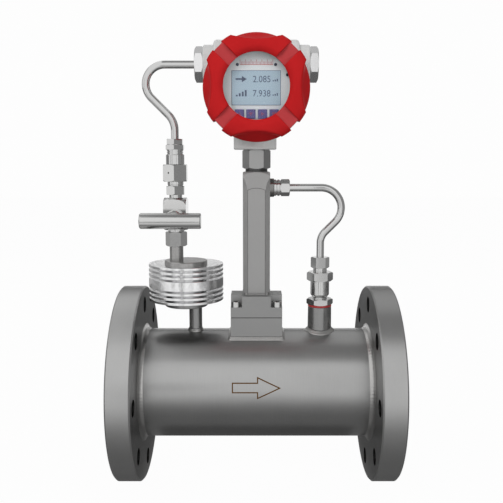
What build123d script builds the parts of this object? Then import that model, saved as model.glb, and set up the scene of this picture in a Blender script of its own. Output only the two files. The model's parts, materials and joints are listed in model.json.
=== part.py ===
from build123d import *
import math
import os

os.makedirs("parts", exist_ok=True)

# Pipe body, millimetres
FACE_TO_FACE = 310.0
MID = FACE_TO_FACE / 2
TUBE_R = 61.0
TUBE_WALL = 11.0
BORE_R = TUBE_R - TUBE_WALL
FLANGE_R = 110.0
FLANGE_THICK = 26.0
RAISED_THICK = 2.0
LAND_R = (TUBE_R + FLANGE_R) / 2
RAISED_R = LAND_R - 6.5
BOLT_CIRCLE_R = LAND_R + 4.5
BOLT_HOLE_R = 9.0
BOLT_COUNT = 8

# Heights above the axis are drawn for a 61 mm tube radius and rise with the tube's crown
CROWN_RISE = TUBE_R - 61.0

# Blocks on the tube
BLOCK_WIDE = 57.0
BLOCK_DEEP = 47.0
BLOCK_TOP = TUBE_R + 18.5
GASKET_TOP = BLOCK_TOP + 0.8
CLAMP_TOP = GASKET_TOP + 23.4
NOTCH_X = BLOCK_WIDE / 2 - 12.6
NOTCH_Y = BLOCK_DEEP / 2 - 10.3
NOTCH_Z = CLAMP_TOP - 12.2
SCREW_X = BLOCK_WIDE / 2 - 5.5
SCREW_Y = BLOCK_DEEP / 2 - 5.1

# Stem and head
STEM_SIDE = 30.0
STEM_HALF = STEM_SIDE / 2
STEM_TOP = CLAMP_TOP + 136.8
HEX_LOW = STEM_TOP + 3.2
HEX_TOP = HEX_LOW + 20.8
HEAD_R = 55.0
HEAD_Z = HEX_TOP + HEAD_R + 8.5
NECK_R = HEAD_R - 7.0
CAVITY_R = NECK_R - 6.0
HEAD_HALF = 31.7
COVER_LOW = HEAD_HALF + 0.3
COVER_CROWN = COVER_LOW + 30.0
SKIRT_R = HEAD_R + 1.0
EAR_R = HEAD_R + 3.75
WINDOW_R = NECK_R - 13.3
SCOOP_ARC_R = 80.0
ENTRY_Z = HEAD_Z + 28.2
ENTRY_FACE = HEAD_R + 2.5
ENTRY_HEX_END = ENTRY_FACE + 9.2
DIAL_FRONT = 44.5

# Pressure side
STACK_X = MID - 90.0
COOLER_X = STACK_X + 10.6
TAP_X = COOLER_X + 10.2
FIN_R = 41.7
SPINDLE_Z = 189.0 + CROWN_RISE

# Temperature side
TEMP_X = MID + 71.8
SIDE_Z = STEM_TOP - 17.9
CONDUIT_R = 4.25
CONDUIT_BORE = CONDUIT_R - 1.0

ALONG = Plane(origin=(0, 0, 0), x_dir=(0, 1, 0), z_dir=(1, 0, 0))
FRONT = Plane(origin=(MID, 0, HEAD_Z), x_dir=(1, 0, 0), z_dir=(0, -1, 0))
REAR = Plane(origin=(MID, 0, HEAD_Z), x_dir=(-1, 0, 0), z_dir=(0, 1, 0))
TO_LEFT = Plane(origin=(MID, 0, ENTRY_Z), x_dir=(0, -1, 0), z_dir=(-1, 0, 0))
TO_RIGHT = Plane(origin=(MID, 0, ENTRY_Z), x_dir=(0, 1, 0), z_dir=(1, 0, 0))
SIDE = Plane(origin=(MID, 0, SIDE_Z), x_dir=(0, 1, 0), z_dir=(1, 0, 0))
SPINDLE = Plane(origin=(STACK_X, 0, SPINDLE_Z), x_dir=(1, 0, 0), z_dir=(0, -1, 0))


def upright(x, y=0.0):
    return Plane(origin=(x, y, 0), x_dir=(1, 0, 0), z_dir=(0, 0, 1))


def standing(x):
    return Plane(origin=(x, 0, CROWN_RISE), x_dir=(1, 0, 0), z_dir=(0, 0, 1))


def turn(plane, outline, mode=Mode.ADD):
    section = Plane(origin=plane.origin, x_dir=plane.x_dir, z_dir=-plane.y_dir)
    with BuildSketch(section) as profile:
        with BuildLine():
            Polyline(*outline, close=True)
        make_face()
    revolve(profile.sketch, axis=Axis(plane.origin, plane.z_dir), mode=mode)


def rod(plane, radius, low, high, mode=Mode.ADD):
    turn(plane, [(0, low), (radius, low), (radius, high), (0, high)], mode)


def ring(plane, inner, outer, low, high, mode=Mode.ADD):
    turn(plane, [(inner, low), (outer, low), (outer, high), (inner, high)], mode)


def hexagon(plane, flats, low, high, edge=0.9, turned=0.0):
    half = flats / 2
    reach = half / math.cos(math.radians(30)) + 0.001
    with BuildPart(mode=Mode.PRIVATE) as prism:
        with BuildSketch(plane.offset(low)):
            RegularPolygon(radius=half, side_count=6, major_radius=False, rotation=turned)
        extrude(amount=high - low)
        turn(
            plane,
            [
                (0, low),
                (half, low),
                (reach, low + edge),
                (reach, high - edge),
                (half, high),
                (0, high),
            ],
            Mode.INTERSECT,
        )
    add(prism.part)


def slab(x0, x1, y0, y1, z0, z1, mode=Mode.ADD):
    with Locations(((x0 + x1) / 2, (y0 + y1) / 2, (z0 + z1) / 2)):
        Box(x1 - x0, y1 - y0, z1 - z0, mode=mode)


def grips(plane, crown, flat_height, scoop_r, strip_r, lean=20.0):
    # Finger scoops on the four axes and flat strips on the diagonals
    base = Location(plane)
    reach = SCOOP_ARC_R / math.cos(math.radians(lean))
    for quarter in range(4):
        spin = Location((0, 0, 0), (0, 0, 90 * quarter))
        with Locations(base * spin * Location((0, scoop_r + reach, crown), (lean, 0, 0))):
            Cylinder(SCOOP_ARC_R, 140, mode=Mode.SUBTRACT)
        spin = Location((0, 0, 0), (0, 0, 90 * quarter + 45))
        with Locations(base * spin * Location((0, 50, flat_height + 10))):
            Box(13.5, 50, 20, mode=Mode.SUBTRACT)
        with Locations(base * spin * Location((0, strip_r + 10, crown - 20))):
            Box(13.5, 20, 60, mode=Mode.SUBTRACT)


# Measuring tube
with BuildPart() as meter_tube:
    ring(ALONG, BORE_R, TUBE_R, 4, FACE_TO_FACE - 4)
    rod(standing(MID), 13.05, 30, 70, Mode.SUBTRACT)
    rod(standing(TAP_X), 4.0, 30, 70, Mode.SUBTRACT)
    rod(standing(TEMP_X), 6.0, 30, 70, Mode.SUBTRACT)
meter_tube.part.label = "meter_tube"
export_step(meter_tube.part, "parts/meter_tube.step")


def flange(face, outward):
    # Flat flange with a raised face; outward is the side of the joint face
    plane = Plane(origin=(face, 0, 0), x_dir=(0, 1, 0), z_dir=(-outward, 0, 0))
    back = RAISED_THICK + FLANGE_THICK
    turn(
        plane,
        [
            (TUBE_R + 0.05, 0),
            (RAISED_R - 0.5, 0),
            (RAISED_R, 0.5),
            (RAISED_R, RAISED_THICK),
            (FLANGE_R - 1.5, RAISED_THICK),
            (FLANGE_R, RAISED_THICK + 1.5),
            (FLANGE_R, back - 1.5),
            (FLANGE_R - 1.5, back),
            (TUBE_R + 0.05, back),
        ],
    )
    for hole in range(BOLT_COUNT):
        angle = math.radians(90 + hole * 360 / BOLT_COUNT)
        centre = plane.from_local_coords(
            (BOLT_CIRCLE_R * math.cos(angle), BOLT_CIRCLE_R * math.sin(angle), 0)
        )
        rod(
            Plane(origin=centre, x_dir=(0, 1, 0), z_dir=plane.z_dir),
            BOLT_HOLE_R,
            -1,
            back + 1,
            Mode.SUBTRACT,
        )


# Inlet flange
with BuildPart() as inlet_flange:
    flange(0, -1)
inlet_flange.part.label = "inlet_flange"
export_step(inlet_flange.part, "parts/inlet_flange.step")

# Outlet flange
with BuildPart() as outlet_flange:
    flange(FACE_TO_FACE, 1)
outlet_flange.part.label = "outlet_flange"
export_step(outlet_flange.part, "parts/outlet_flange.step")

# Weld beads that join the flanges to the tube
with BuildPart() as flange_welds:
    for start, sense in ((0, 1), (FACE_TO_FACE, -1)):
        inward = Plane(origin=(start, 0, 0), x_dir=(0, 1, 0), z_dir=(sense, 0, 0))
        back = RAISED_THICK + FLANGE_THICK
        turn(
            inward,
            [(TUBE_R, back), (TUBE_R + 5, back), (TUBE_R + 2.6, back + 2.2), (TUBE_R, back + 5.2)],
        )
        ring(inward, BORE_R, TUBE_R, 0.8, 4)
flange_welds.part.label = "flange_welds"
export_step(flange_welds.part, "parts/flange_welds.step")

# Shedder bar across the bore
with BuildPart() as bluff_body:
    with BuildSketch(Plane.XY.offset(-BORE_R - 10)):
        with BuildLine():
            Polyline(
                (MID - 52, -14),
                (MID - 48, -14),
                (MID - 22, -5),
                (MID - 22, 5),
                (MID - 48, 14),
                (MID - 52, 14),
                close=True,
            )
        make_face()
    extrude(amount=2 * BORE_R + 20)
    rod(ALONG, BORE_R - 0.02, MID - 60, MID, Mode.INTERSECT)
bluff_body.part.label = "bluff_body"
export_step(bluff_body.part, "parts/bluff_body.step")

# Saddle block welded on the tube
with BuildPart() as sensor_block:
    slab(
        MID - BLOCK_WIDE / 2,
        MID + BLOCK_WIDE / 2,
        -BLOCK_DEEP / 2,
        BLOCK_DEEP / 2,
        BORE_R - 10,
        BLOCK_TOP,
    )
    rod(ALONG, TUBE_R + 0.02, MID - 105, MID + 105, Mode.SUBTRACT)
    rod(standing(MID), 13.05, 30, 90, Mode.SUBTRACT)
    for sx in (-1, 1):
        for sy in (-1, 1):
            screw_hole = upright(MID + sx * SCREW_X, sy * SCREW_Y)
            rod(screw_hole, 3.0, BLOCK_TOP - 13.5, BLOCK_TOP + 10, Mode.SUBTRACT)
sensor_block.part.label = "sensor_block"
export_step(sensor_block.part, "parts/sensor_block.step")

# Weld bead round the saddle block
with BuildPart() as sensor_block_weld:
    wide = BLOCK_WIDE / 2
    deep = BLOCK_DEEP / 2
    low = BORE_R - 10
    high = TUBE_R + 9
    slab(MID - wide - 3.2, MID + wide + 3.2, -deep - 3.2, deep + 3.2, low, high)
    rod(ALONG, TUBE_R + 2.6, MID - 105, MID + 105, Mode.INTERSECT)
    rod(ALONG, TUBE_R + 0.02, MID - 105, MID + 105, Mode.SUBTRACT)
    slab(
        MID - wide - 0.02,
        MID + wide + 0.02,
        -deep - 0.02,
        deep + 0.02,
        low,
        high,
        Mode.SUBTRACT,
    )
sensor_block_weld.part.label = "sensor_block_weld"
export_step(sensor_block_weld.part, "parts/sensor_block_weld.step")

# Joint sheet between the two blocks
with BuildPart() as sensor_gasket:
    wide = BLOCK_WIDE / 2 - 0.4
    deep = BLOCK_DEEP / 2 - 0.4
    slab(MID - wide, MID + wide, -deep, deep, BLOCK_TOP, GASKET_TOP)
    rod(standing(MID), 15.0, 70, 90, Mode.SUBTRACT)
    for sx in (-1, 1):
        for sy in (-1, 1):
            screw_hole = upright(MID + sx * SCREW_X, sy * SCREW_Y)
            rod(screw_hole, 3.2, BLOCK_TOP - 5, GASKET_TOP + 5, Mode.SUBTRACT)
sensor_gasket.part.label = "sensor_gasket"
export_step(sensor_gasket.part, "parts/sensor_gasket.step")

# Clamp block with a notch at each corner
with BuildPart() as clamp_block:
    slab(
        MID - BLOCK_WIDE / 2,
        MID + BLOCK_WIDE / 2,
        -BLOCK_DEEP / 2,
        BLOCK_DEEP / 2,
        GASKET_TOP,
        CLAMP_TOP,
    )
    for sx in (-1, 1):
        for sy in (-1, 1):
            xs = sorted((MID + sx * NOTCH_X, MID + sx * 40))
            ys = sorted((sy * NOTCH_Y, sy * 40))
            slab(xs[0], xs[1], ys[0], ys[1], NOTCH_Z, CLAMP_TOP + 10, Mode.SUBTRACT)
            screw_hole = upright(MID + sx * SCREW_X, sy * SCREW_Y)
            rod(screw_hole, 3.3, BLOCK_TOP, NOTCH_Z + 5, Mode.SUBTRACT)
    rod(upright(MID), 15.0, BLOCK_TOP - 5, BLOCK_TOP + 4.5, Mode.SUBTRACT)
    rod(upright(MID), 5.0, BLOCK_TOP - 5, CLAMP_TOP + 10, Mode.SUBTRACT)
clamp_block.part.label = "clamp_block"
export_step(clamp_block.part, "parts/clamp_block.step")

# Four socket head screws in the notches
with BuildPart() as clamp_screws:
    for sx in (-1, 1):
        for sy in (-1, 1):
            seat = upright(MID + sx * SCREW_X, sy * SCREW_Y)
            turn(
                seat,
                [
                    (0, BLOCK_TOP - 11.5),
                    (2.95, BLOCK_TOP - 11.5),
                    (2.95, NOTCH_Z),
                    (5.0, NOTCH_Z),
                    (5.0, NOTCH_Z + 5.6),
                    (4.6, NOTCH_Z + 6),
                    (0, NOTCH_Z + 6),
                ],
            )
    with BuildSketch(Plane.XY.offset(NOTCH_Z + 3)):
        with Locations(
            (MID - SCREW_X, -SCREW_Y),
            (MID + SCREW_X, -SCREW_Y),
            (MID - SCREW_X, SCREW_Y),
            (MID + SCREW_X, SCREW_Y),
        ):
            RegularPolygon(radius=2.5, side_count=6, major_radius=False)
    extrude(amount=4, mode=Mode.SUBTRACT)
clamp_screws.part.label = "clamp_screws"
export_step(clamp_screws.part, "parts/clamp_screws.step")

# Vortex probe with its paddle in the bore
with BuildPart() as sensor_probe:
    turn(
        upright(MID),
        [
            (0, BORE_R - 4),
            (9, BORE_R - 4),
            (13, BORE_R),
            (13, BLOCK_TOP),
            (14.95, BLOCK_TOP),
            (14.95, BLOCK_TOP + 4.4),
            (0, BLOCK_TOP + 4.4),
        ],
    )
    slab(MID - 7, MID + 7, -2, 2, BORE_R - 36, BORE_R)
sensor_probe.part.label = "sensor_probe"
export_step(sensor_probe.part, "parts/sensor_probe.step")

# Square stem with chamfered edges and a turned top
with BuildPart() as stem_column:
    foot = STEM_HALF - 2
    slab(MID - foot, MID + foot, -foot, foot, CLAMP_TOP, CLAMP_TOP + 4.3)
    slab(
        MID - STEM_HALF,
        MID + STEM_HALF,
        -STEM_HALF,
        STEM_HALF,
        CLAMP_TOP + 2.5,
        STEM_TOP,
    )
    corner = STEM_HALF * math.sqrt(2)
    turn(
        upright(MID),
        [
            (0, CLAMP_TOP - 4),
            (corner + 0.1, CLAMP_TOP - 4),
            (corner + 0.1, STEM_TOP - 6.6),
            (corner - 0.8, STEM_TOP - 4.2),
            (corner - 2.8, STEM_TOP - 2.2),
            (corner - 5.4, STEM_TOP - 0.8),
            (corner - 8.2, STEM_TOP),
            (0, STEM_TOP),
        ],
        Mode.INTERSECT,
    )
    # Corner chamfers end in the long run-out of the cutter
    edge = corner - 5 / math.sqrt(2)
    run_out = STEM_TOP - 21.5
    for quarter in range(4):
        angle = 45 + 90 * quarter
        outward = Vector(math.cos(math.radians(angle)), math.sin(math.radians(angle)), 0)
        cut = Plane(origin=(MID, 0, 0), x_dir=outward, z_dir=outward.cross(Vector(0, 0, 1)))
        with BuildSketch(cut.offset(-12)):
            with Locations((edge + 36, run_out)):
                Circle(36)
            with Locations((edge + 20, (run_out + CLAMP_TOP - 4) / 2)):
                Rectangle(40, run_out - CLAMP_TOP + 4)
        extrude(amount=24, mode=Mode.SUBTRACT)
    # Shallow milled pockets with arched tops on the front and the back
    for facing in (-1, 1):
        face = Plane(origin=(MID, facing * STEM_HALF, 0), x_dir=(1, 0, 0), z_dir=(0, -1, 0))
        with BuildSketch(face.offset(-0.35)):
            with Locations((0, STEM_TOP - 17.8 - 21)):
                Circle(21)
            with Locations((0, STEM_TOP - 17.8 - 21 - 52)):
                Rectangle(STEM_SIDE - 10.6, 104, mode=Mode.ADD)
            with Locations((0, STEM_TOP - 17.8 - 62)):
                Rectangle(STEM_SIDE - 10.6, 124, mode=Mode.INTERSECT)
        extrude(amount=0.7, mode=Mode.SUBTRACT)
    rod(upright(MID), 9.0, CLAMP_TOP - 4, STEM_TOP + 10, Mode.SUBTRACT)
    rod(SIDE, 5.0, 5, STEM_HALF + 5, Mode.SUBTRACT)
stem_column.part.label = "stem_column"
export_step(stem_column.part, "parts/stem_column.step")

# Hexagon neck below the head
with BuildPart() as neck_nut:
    rod(upright(MID), 12.2, STEM_TOP, HEX_LOW + 1)
    hexagon(upright(MID), 27.0, HEX_LOW, HEX_TOP, 1.2)
    rod(upright(MID), 8.0, STEM_TOP - 1, HEX_TOP + 1, Mode.SUBTRACT)
neck_nut.part.label = "neck_nut"
export_step(neck_nut.part, "parts/neck_nut.step")

# Round head housing with two side bosses and a foot
with BuildPart() as head_housing:
    turn(
        FRONT,
        [
            (0, -44),
            (NECK_R - 1, -44),
            (NECK_R, -43),
            (NECK_R, -HEAD_HALF),
            (HEAD_R - 2, -HEAD_HALF),
            (HEAD_R, -HEAD_HALF + 2),
            (HEAD_R, HEAD_HALF - 2),
            (HEAD_R - 2, HEAD_HALF),
            (NECK_R, HEAD_HALF),
            (NECK_R, 47),
            (NECK_R - 1, 48),
            (0, 48),
        ],
    )
    for side in (TO_LEFT, TO_RIGHT):
        turn(
            side,
            [
                (0, 0),
                (26, 0),
                (26, ENTRY_FACE - 14),
                (25, ENTRY_FACE - 12.2),
                (23, ENTRY_FACE - 11.3),
                (20.75, ENTRY_FACE - 10.9),
                (20.75, ENTRY_FACE - 1.2),
                (19.6, ENTRY_FACE),
                (0, ENTRY_FACE),
            ],
        )
    turn(
        upright(MID - 1.5),
        [
            (0, HEX_TOP),
            (22.6, HEX_TOP),
            (23.6, HEX_TOP + 1),
            (23.6, HEAD_Z - 28),
            (0, HEAD_Z - 28),
        ],
    )
    rod(FRONT, CAVITY_R, 5, 60, Mode.SUBTRACT)
    rod(REAR, CAVITY_R, 5, 60, Mode.SUBTRACT)
    rod(TO_LEFT, 10.0, 20, ENTRY_FACE + 2.5, Mode.SUBTRACT)
    rod(TO_RIGHT, 10.0, 20, ENTRY_FACE + 2.5, Mode.SUBTRACT)
    rod(upright(MID), 7.5, HEX_TOP - 4.5, HEX_TOP + 19.5, Mode.SUBTRACT)
    slab(MID - 5, MID + 5, 0, 12, HEX_TOP + 13.5, HEX_TOP + 25.5, Mode.SUBTRACT)
    ring(FRONT, NECK_R - 1.6, HEAD_R + 5, COVER_LOW + 1.5, COVER_LOW + 4, Mode.SUBTRACT)
head_housing.part.label = "head_housing"
export_step(head_housing.part, "parts/head_housing.step")

# Screw-on front cover with flats and finger scoops
with BuildPart() as front_cover:
    turn(
        FRONT,
        [
            (NECK_R + 0.3, COVER_LOW),
            (SKIRT_R, COVER_LOW),
            (SKIRT_R, COVER_LOW + 6),
            (EAR_R - 1.15, COVER_LOW + 8),
            (EAR_R, COVER_LOW + 10.5),
            (EAR_R, COVER_CROWN - 11),
            (EAR_R - 0.75, COVER_CROWN - 8),
            (EAR_R - 2.75, COVER_CROWN - 5),
            (EAR_R - 6.25, COVER_CROWN - 2.4),
            (EAR_R - 10.75, COVER_CROWN - 0.7),
            (EAR_R - 14.75, COVER_CROWN - 0.1),
            (WINDOW_R + 6.3, COVER_CROWN),
            (WINDOW_R + 3.3, COVER_CROWN - 0.3),
            (WINDOW_R + 1.3, COVER_CROWN - 1),
            (WINDOW_R, COVER_CROWN - 2.2),
            (WINDOW_R, COVER_CROWN - 6),
            (WINDOW_R + 3.6, COVER_CROWN - 6),
            (WINDOW_R + 3.6, 46.5),
            (CAVITY_R - 0.5, 46.5),
            (CAVITY_R - 0.5, 49),
            (NECK_R + 0.3, 49),
        ],
    )
    grips(FRONT, COVER_CROWN, COVER_CROWN - 4.5, EAR_R - 12.25, EAR_R - 4.15)
front_cover.part.label = "front_cover"
export_step(front_cover.part, "parts/front_cover.step")

# Round window glass
with BuildPart() as window_glass:
    rod(FRONT, WINDOW_R + 3.3, 50, COVER_CROWN - 6.05)
window_glass.part.label = "window_glass"
export_step(window_glass.part, "parts/window_glass.step")

# Ring that holds the glass from behind
with BuildPart() as window_ring:
    ring(FRONT, WINDOW_R + 0.5, WINDOW_R + 3.3, 47, 50)
window_ring.part.label = "window_ring"
export_step(window_ring.part, "parts/window_ring.step")

# Seal ring in the groove of the front neck
with BuildPart() as front_cover_seal:
    turn(
        FRONT,
        [
            (NECK_R - 1.6, COVER_LOW + 1.6),
            (NECK_R - 0.4, COVER_LOW + 1.6),
            (NECK_R + 0.15, COVER_LOW + 2.3),
            (NECK_R + 0.15, COVER_LOW + 3.2),
            (NECK_R - 0.4, COVER_LOW + 3.9),
            (NECK_R - 1.6, COVER_LOW + 3.9),
        ],
    )
front_cover_seal.part.label = "front_cover_seal"
export_step(front_cover_seal.part, "parts/front_cover_seal.step")

BUTTON_XS = (-17.6, -5.8, 6.3, 18.3)
BUTTON_Z = HEAD_Z - WINDOW_R + 7.1
DISPLAY_LEFT = MID - WINDOW_R + 8.9
DISPLAY_RIGHT = MID + WINDOW_R - 9.5
DISPLAY_LOW = BUTTON_Z + 8.8
DISPLAY_HIGH = HEAD_Z + WINDOW_R - 18.1
UPPER_SCREW_X = WINDOW_R - 15.1
UPPER_SCREW_Z = HEAD_Z + WINDOW_R - 12.3
PANEL_SCREWS = (
    (-UPPER_SCREW_X, UPPER_SCREW_Z),
    (UPPER_SCREW_X, UPPER_SCREW_Z),
    (WINDOW_R - 2.8, HEAD_Z + WINDOW_R - 22.6),
)

# Round dial plate
with BuildPart() as dial_plate:
    rod(FRONT, CAVITY_R - 0.2, DIAL_FRONT - 2.5, DIAL_FRONT)
    slab(DISPLAY_LEFT, DISPLAY_RIGHT, -60, -30, DISPLAY_LOW, DISPLAY_HIGH, Mode.SUBTRACT)
    for bx in BUTTON_XS:
        slab(MID + bx - 4.95, MID + bx + 4.95, -60, -30, BUTTON_Z - 4.95, BUTTON_Z + 4.95, Mode.SUBTRACT)
    for px, pz in PANEL_SCREWS:
        rod(Plane(origin=(MID + px, 0, pz), x_dir=(1, 0, 0), z_dir=(0, -1, 0)), 0.9, 30, 60, Mode.SUBTRACT)
dial_plate.part.label = "dial_plate"
export_step(dial_plate.part, "parts/dial_plate.step")

# Display module
with BuildPart() as display:
    slab(
        DISPLAY_LEFT + 0.1,
        DISPLAY_RIGHT - 0.1,
        -DIAL_FRONT - 0.4,
        -DIAL_FRONT + 5.5,
        DISPLAY_LOW + 0.1,
        DISPLAY_HIGH - 0.1,
    )
display.part.label = "display"
export_step(display.part, "parts/display.step")


def button(bx):
    slab(MID + bx - 4.7, MID + bx + 4.7, -46, -40, BUTTON_Z - 4.7, BUTTON_Z + 4.7)


# First button
with BuildPart() as button_1:
    button(BUTTON_XS[0])
    fillet(button_1.edges().filter_by(Axis.Y), 1.2)
button_1.part.label = "button_1"
export_step(button_1.part, "parts/button_1.step")

# Second button
with BuildPart() as button_2:
    button(BUTTON_XS[1])
    fillet(button_2.edges().filter_by(Axis.Y), 1.2)
button_2.part.label = "button_2"
export_step(button_2.part, "parts/button_2.step")

# Third button
with BuildPart() as button_3:
    button(BUTTON_XS[2])
    fillet(button_3.edges().filter_by(Axis.Y), 1.2)
button_3.part.label = "button_3"
export_step(button_3.part, "parts/button_3.step")

# Fourth button
with BuildPart() as button_4:
    button(BUTTON_XS[3])
    fillet(button_4.edges().filter_by(Axis.Y), 1.2)
button_4.part.label = "button_4"
export_step(button_4.part, "parts/button_4.step")

# Small screws of the dial
with BuildPart() as panel_screws:
    for px, pz in PANEL_SCREWS:
        spot = Plane(origin=(MID + px, 0, pz), x_dir=(1, 0, 0), z_dir=(0, -1, 0))
        turn(
            spot,
            [
                (0, DIAL_FRONT - 3.5),
                (0.88, DIAL_FRONT - 3.5),
                (0.88, DIAL_FRONT),
                (1.6, DIAL_FRONT),
                (1.6, DIAL_FRONT + 0.5),
                (1.2, DIAL_FRONT + 0.9),
                (0, DIAL_FRONT + 0.9),
            ],
        )
panel_screws.part.label = "panel_screws"
export_step(panel_screws.part, "parts/panel_screws.step")

POST_X = CAVITY_R - 12
POST_Z = 20.0

# Electronics board on its pillars
with BuildPart() as electronics_board:
    rod(FRONT, CAVITY_R - 1.5, 34, 35.6)
    for px, pz in ((-POST_X, -POST_Z), (POST_X, -POST_Z), (-POST_X, POST_Z), (POST_X, POST_Z)):
        post = Plane(origin=(MID + px, 0, HEAD_Z + pz), x_dir=(1, 0, 0), z_dir=(0, -1, 0))
        rod(post, 3.0, 5, 34.5)
        rod(post, 2.5, 35, 42)
    slab(MID - 18, MID + 18, -34.5, -24, HEAD_Z - 16, HEAD_Z + 4)
    slab(MID - 12, MID + 14, -34.5, -29, HEAD_Z + 10, HEAD_Z + 26)
electronics_board.part.label = "electronics_board"
export_step(electronics_board.part, "parts/electronics_board.step")

# Blind rear cover
with BuildPart() as rear_cover:
    turn(
        REAR,
        [
            (NECK_R + 0.3, COVER_LOW),
            (HEAD_R - 1, COVER_LOW),
            (HEAD_R - 1, COVER_LOW + 4.5),
            (HEAD_R, COVER_LOW + 6),
            (HEAD_R, COVER_LOW + 13),
            (HEAD_R - 0.8, COVER_LOW + 16),
            (HEAD_R - 3, COVER_LOW + 19),
            (HEAD_R - 7, COVER_LOW + 21),
            (0, COVER_LOW + 21),
            (0, COVER_LOW + 13),
            (NECK_R + 0.3, COVER_LOW + 13),
        ],
    )
    grips(REAR, COVER_LOW + 21, COVER_LOW + 18.5, HEAD_R - 7, HEAD_R - 1.6)
    ring(REAR, NECK_R - 8, NECK_R + 2, COVER_LOW + 1, COVER_LOW + 3.6, Mode.SUBTRACT)
rear_cover.part.label = "rear_cover"
export_step(rear_cover.part, "parts/rear_cover.step")

# Seal ring that rides in the rear cover
with BuildPart() as rear_cover_seal:
    turn(
        REAR,
        [
            (NECK_R + 0.05, COVER_LOW + 1.1),
            (NECK_R + 1.4, COVER_LOW + 1.1),
            (NECK_R + 1.9, COVER_LOW + 1.8),
            (NECK_R + 1.9, COVER_LOW + 2.9),
            (NECK_R + 1.4, COVER_LOW + 3.5),
            (NECK_R + 0.05, COVER_LOW + 3.5),
        ],
    )
rear_cover_seal.part.label = "rear_cover_seal"
export_step(rear_cover_seal.part, "parts/rear_cover_seal.step")

# Terminal block in the rear cavity
with BuildPart() as terminal_block:
    slab(MID - 24, MID + 24, 5, 20, HEAD_Z - 20, HEAD_Z - 2)
    for step in range(6):
        tx = MID - 20 + 8 * step
        hole = Plane(origin=(tx, 0, HEAD_Z - 7), x_dir=(-1, 0, 0), z_dir=(0, 1, 0))
        rod(hole, 2.4, 14, 25, Mode.SUBTRACT)
        slab(tx - 2.5, tx + 2.5, 10, 18, HEAD_Z - 28, HEAD_Z - 14, Mode.SUBTRACT)
terminal_block.part.label = "terminal_block"
export_step(terminal_block.part, "parts/terminal_block.step")

# Left entry hexagon that takes the conduit
with BuildPart() as entry_gland:
    hexagon(TO_LEFT, 33.6, ENTRY_FACE, ENTRY_HEX_END, 1.4, 30)
    rod(TO_LEFT, 9.95, ENTRY_FACE - 15.5, ENTRY_FACE + 1)
    rod(TO_LEFT, CONDUIT_R + 0.02, ENTRY_FACE + 2.5, ENTRY_HEX_END + 3, Mode.SUBTRACT)
    rod(TO_LEFT, CONDUIT_BORE - 0.25, ENTRY_FACE - 17, ENTRY_FACE + 4, Mode.SUBTRACT)
entry_gland.part.label = "entry_gland"
export_step(entry_gland.part, "parts/entry_gland.step")

# Right entry hexagon plug
with BuildPart() as entry_plug:
    hexagon(TO_RIGHT, 33.6, ENTRY_FACE, ENTRY_HEX_END, 1.4, 30)
    rod(TO_RIGHT, 9.95, ENTRY_FACE - 15.5, ENTRY_FACE + 1)
entry_plug.part.label = "entry_plug"
export_step(entry_plug.part, "parts/entry_plug.step")

# Bent conduit from the head to the pressure sensor
with BuildPart() as pressure_conduit:
    with BuildLine(Plane.XZ) as pressure_route:
        FilletPolyline(
            (MID - ENTRY_FACE - 3, ENTRY_Z),
            (STACK_X - 60.75, ENTRY_Z),
            (STACK_X, ENTRY_Z - 60.75),
            (STACK_X, 268 + CROWN_RISE),
            radius=(21, 24),
        )
    with BuildSketch(Plane(origin=pressure_route.line @ 0, z_dir=pressure_route.line % 0)):
        Circle(CONDUIT_R)
        Circle(CONDUIT_BORE, mode=Mode.SUBTRACT)
    sweep(path=pressure_route.line)
pressure_conduit.part.label = "pressure_conduit"
export_step(pressure_conduit.part, "parts/pressure_conduit.step")

# Two-tier nut at the foot of the pressure conduit
with BuildPart() as pressure_conduit_nut:
    hexagon(standing(STACK_X), 19.4, 264.5, 269.6, 0.5, 30)
    rod(standing(STACK_X), 8.2, 269, 270.6)
    hexagon(standing(STACK_X), 17.0, 270, 276.2, 0.6, 30)
    rod(standing(STACK_X), CONDUIT_R + 0.02, 260, 280, Mode.SUBTRACT)
pressure_conduit_nut.part.label = "pressure_conduit_nut"
export_step(pressure_conduit_nut.part, "parts/pressure_conduit_nut.step")

# Turned adapter with a ringed neck
with BuildPart() as conduit_adapter:
    turn(
        standing(STACK_X),
        [
            (3, 248.2),
            (9.8, 248.2),
            (10.2, 248.6),
            (10.2, 258.6),
            (9.7, 259.1),
            (9.1, 259.1),
            (9.1, 260.1),
            (8.4, 260.1),
            (8.4, 260.9),
            (9.1, 260.9),
            (9.1, 262.0),
            (8.4, 262.0),
            (8.4, 262.8),
            (9.1, 262.8),
            (9.1, 264.5),
            (3, 264.5),
        ],
    )
conduit_adapter.part.label = "conduit_adapter"
export_step(conduit_adapter.part, "parts/conduit_adapter.step")

# Hexagonal pressure sensor body with a vent hole
with BuildPart() as pressure_sensor_body:
    hexagon(standing(STACK_X), 25.8, 229.6, 248.2, 1.4, 30)
    vent = Plane(
        origin=(STACK_X, 0, 239.2 + CROWN_RISE),
        x_dir=(0, 0, 1),
        z_dir=(-0.5, -0.8660254, 0),
    )
    rod(vent, 1.0, 6, 15, Mode.SUBTRACT)
    rod(standing(STACK_X), 3.0, 229, 249, Mode.SUBTRACT)
pressure_sensor_body.part.label = "pressure_sensor_body"
export_step(pressure_sensor_body.part, "parts/pressure_sensor_body.step")

# Turned collar below the sensor body
with BuildPart() as sensor_collar:
    turn(
        standing(STACK_X),
        [(3, 224.6), (8.35, 224.6), (8.35, 225.7), (8.9, 226), (8.9, 229.3), (8.6, 229.6), (3, 229.6)],
    )
sensor_collar.part.label = "sensor_collar"
export_step(sensor_collar.part, "parts/sensor_collar.step")

# Union nut on the valve outlet
with BuildPart() as valve_outlet_nut:
    hexagon(standing(STACK_X), 19.4, 215, 224.6, 0.9, 30)
    rod(standing(STACK_X), 3.0, 214, 226, Mode.SUBTRACT)
valve_outlet_nut.part.label = "valve_outlet_nut"
export_step(valve_outlet_nut.part, "parts/valve_outlet_nut.step")

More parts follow.
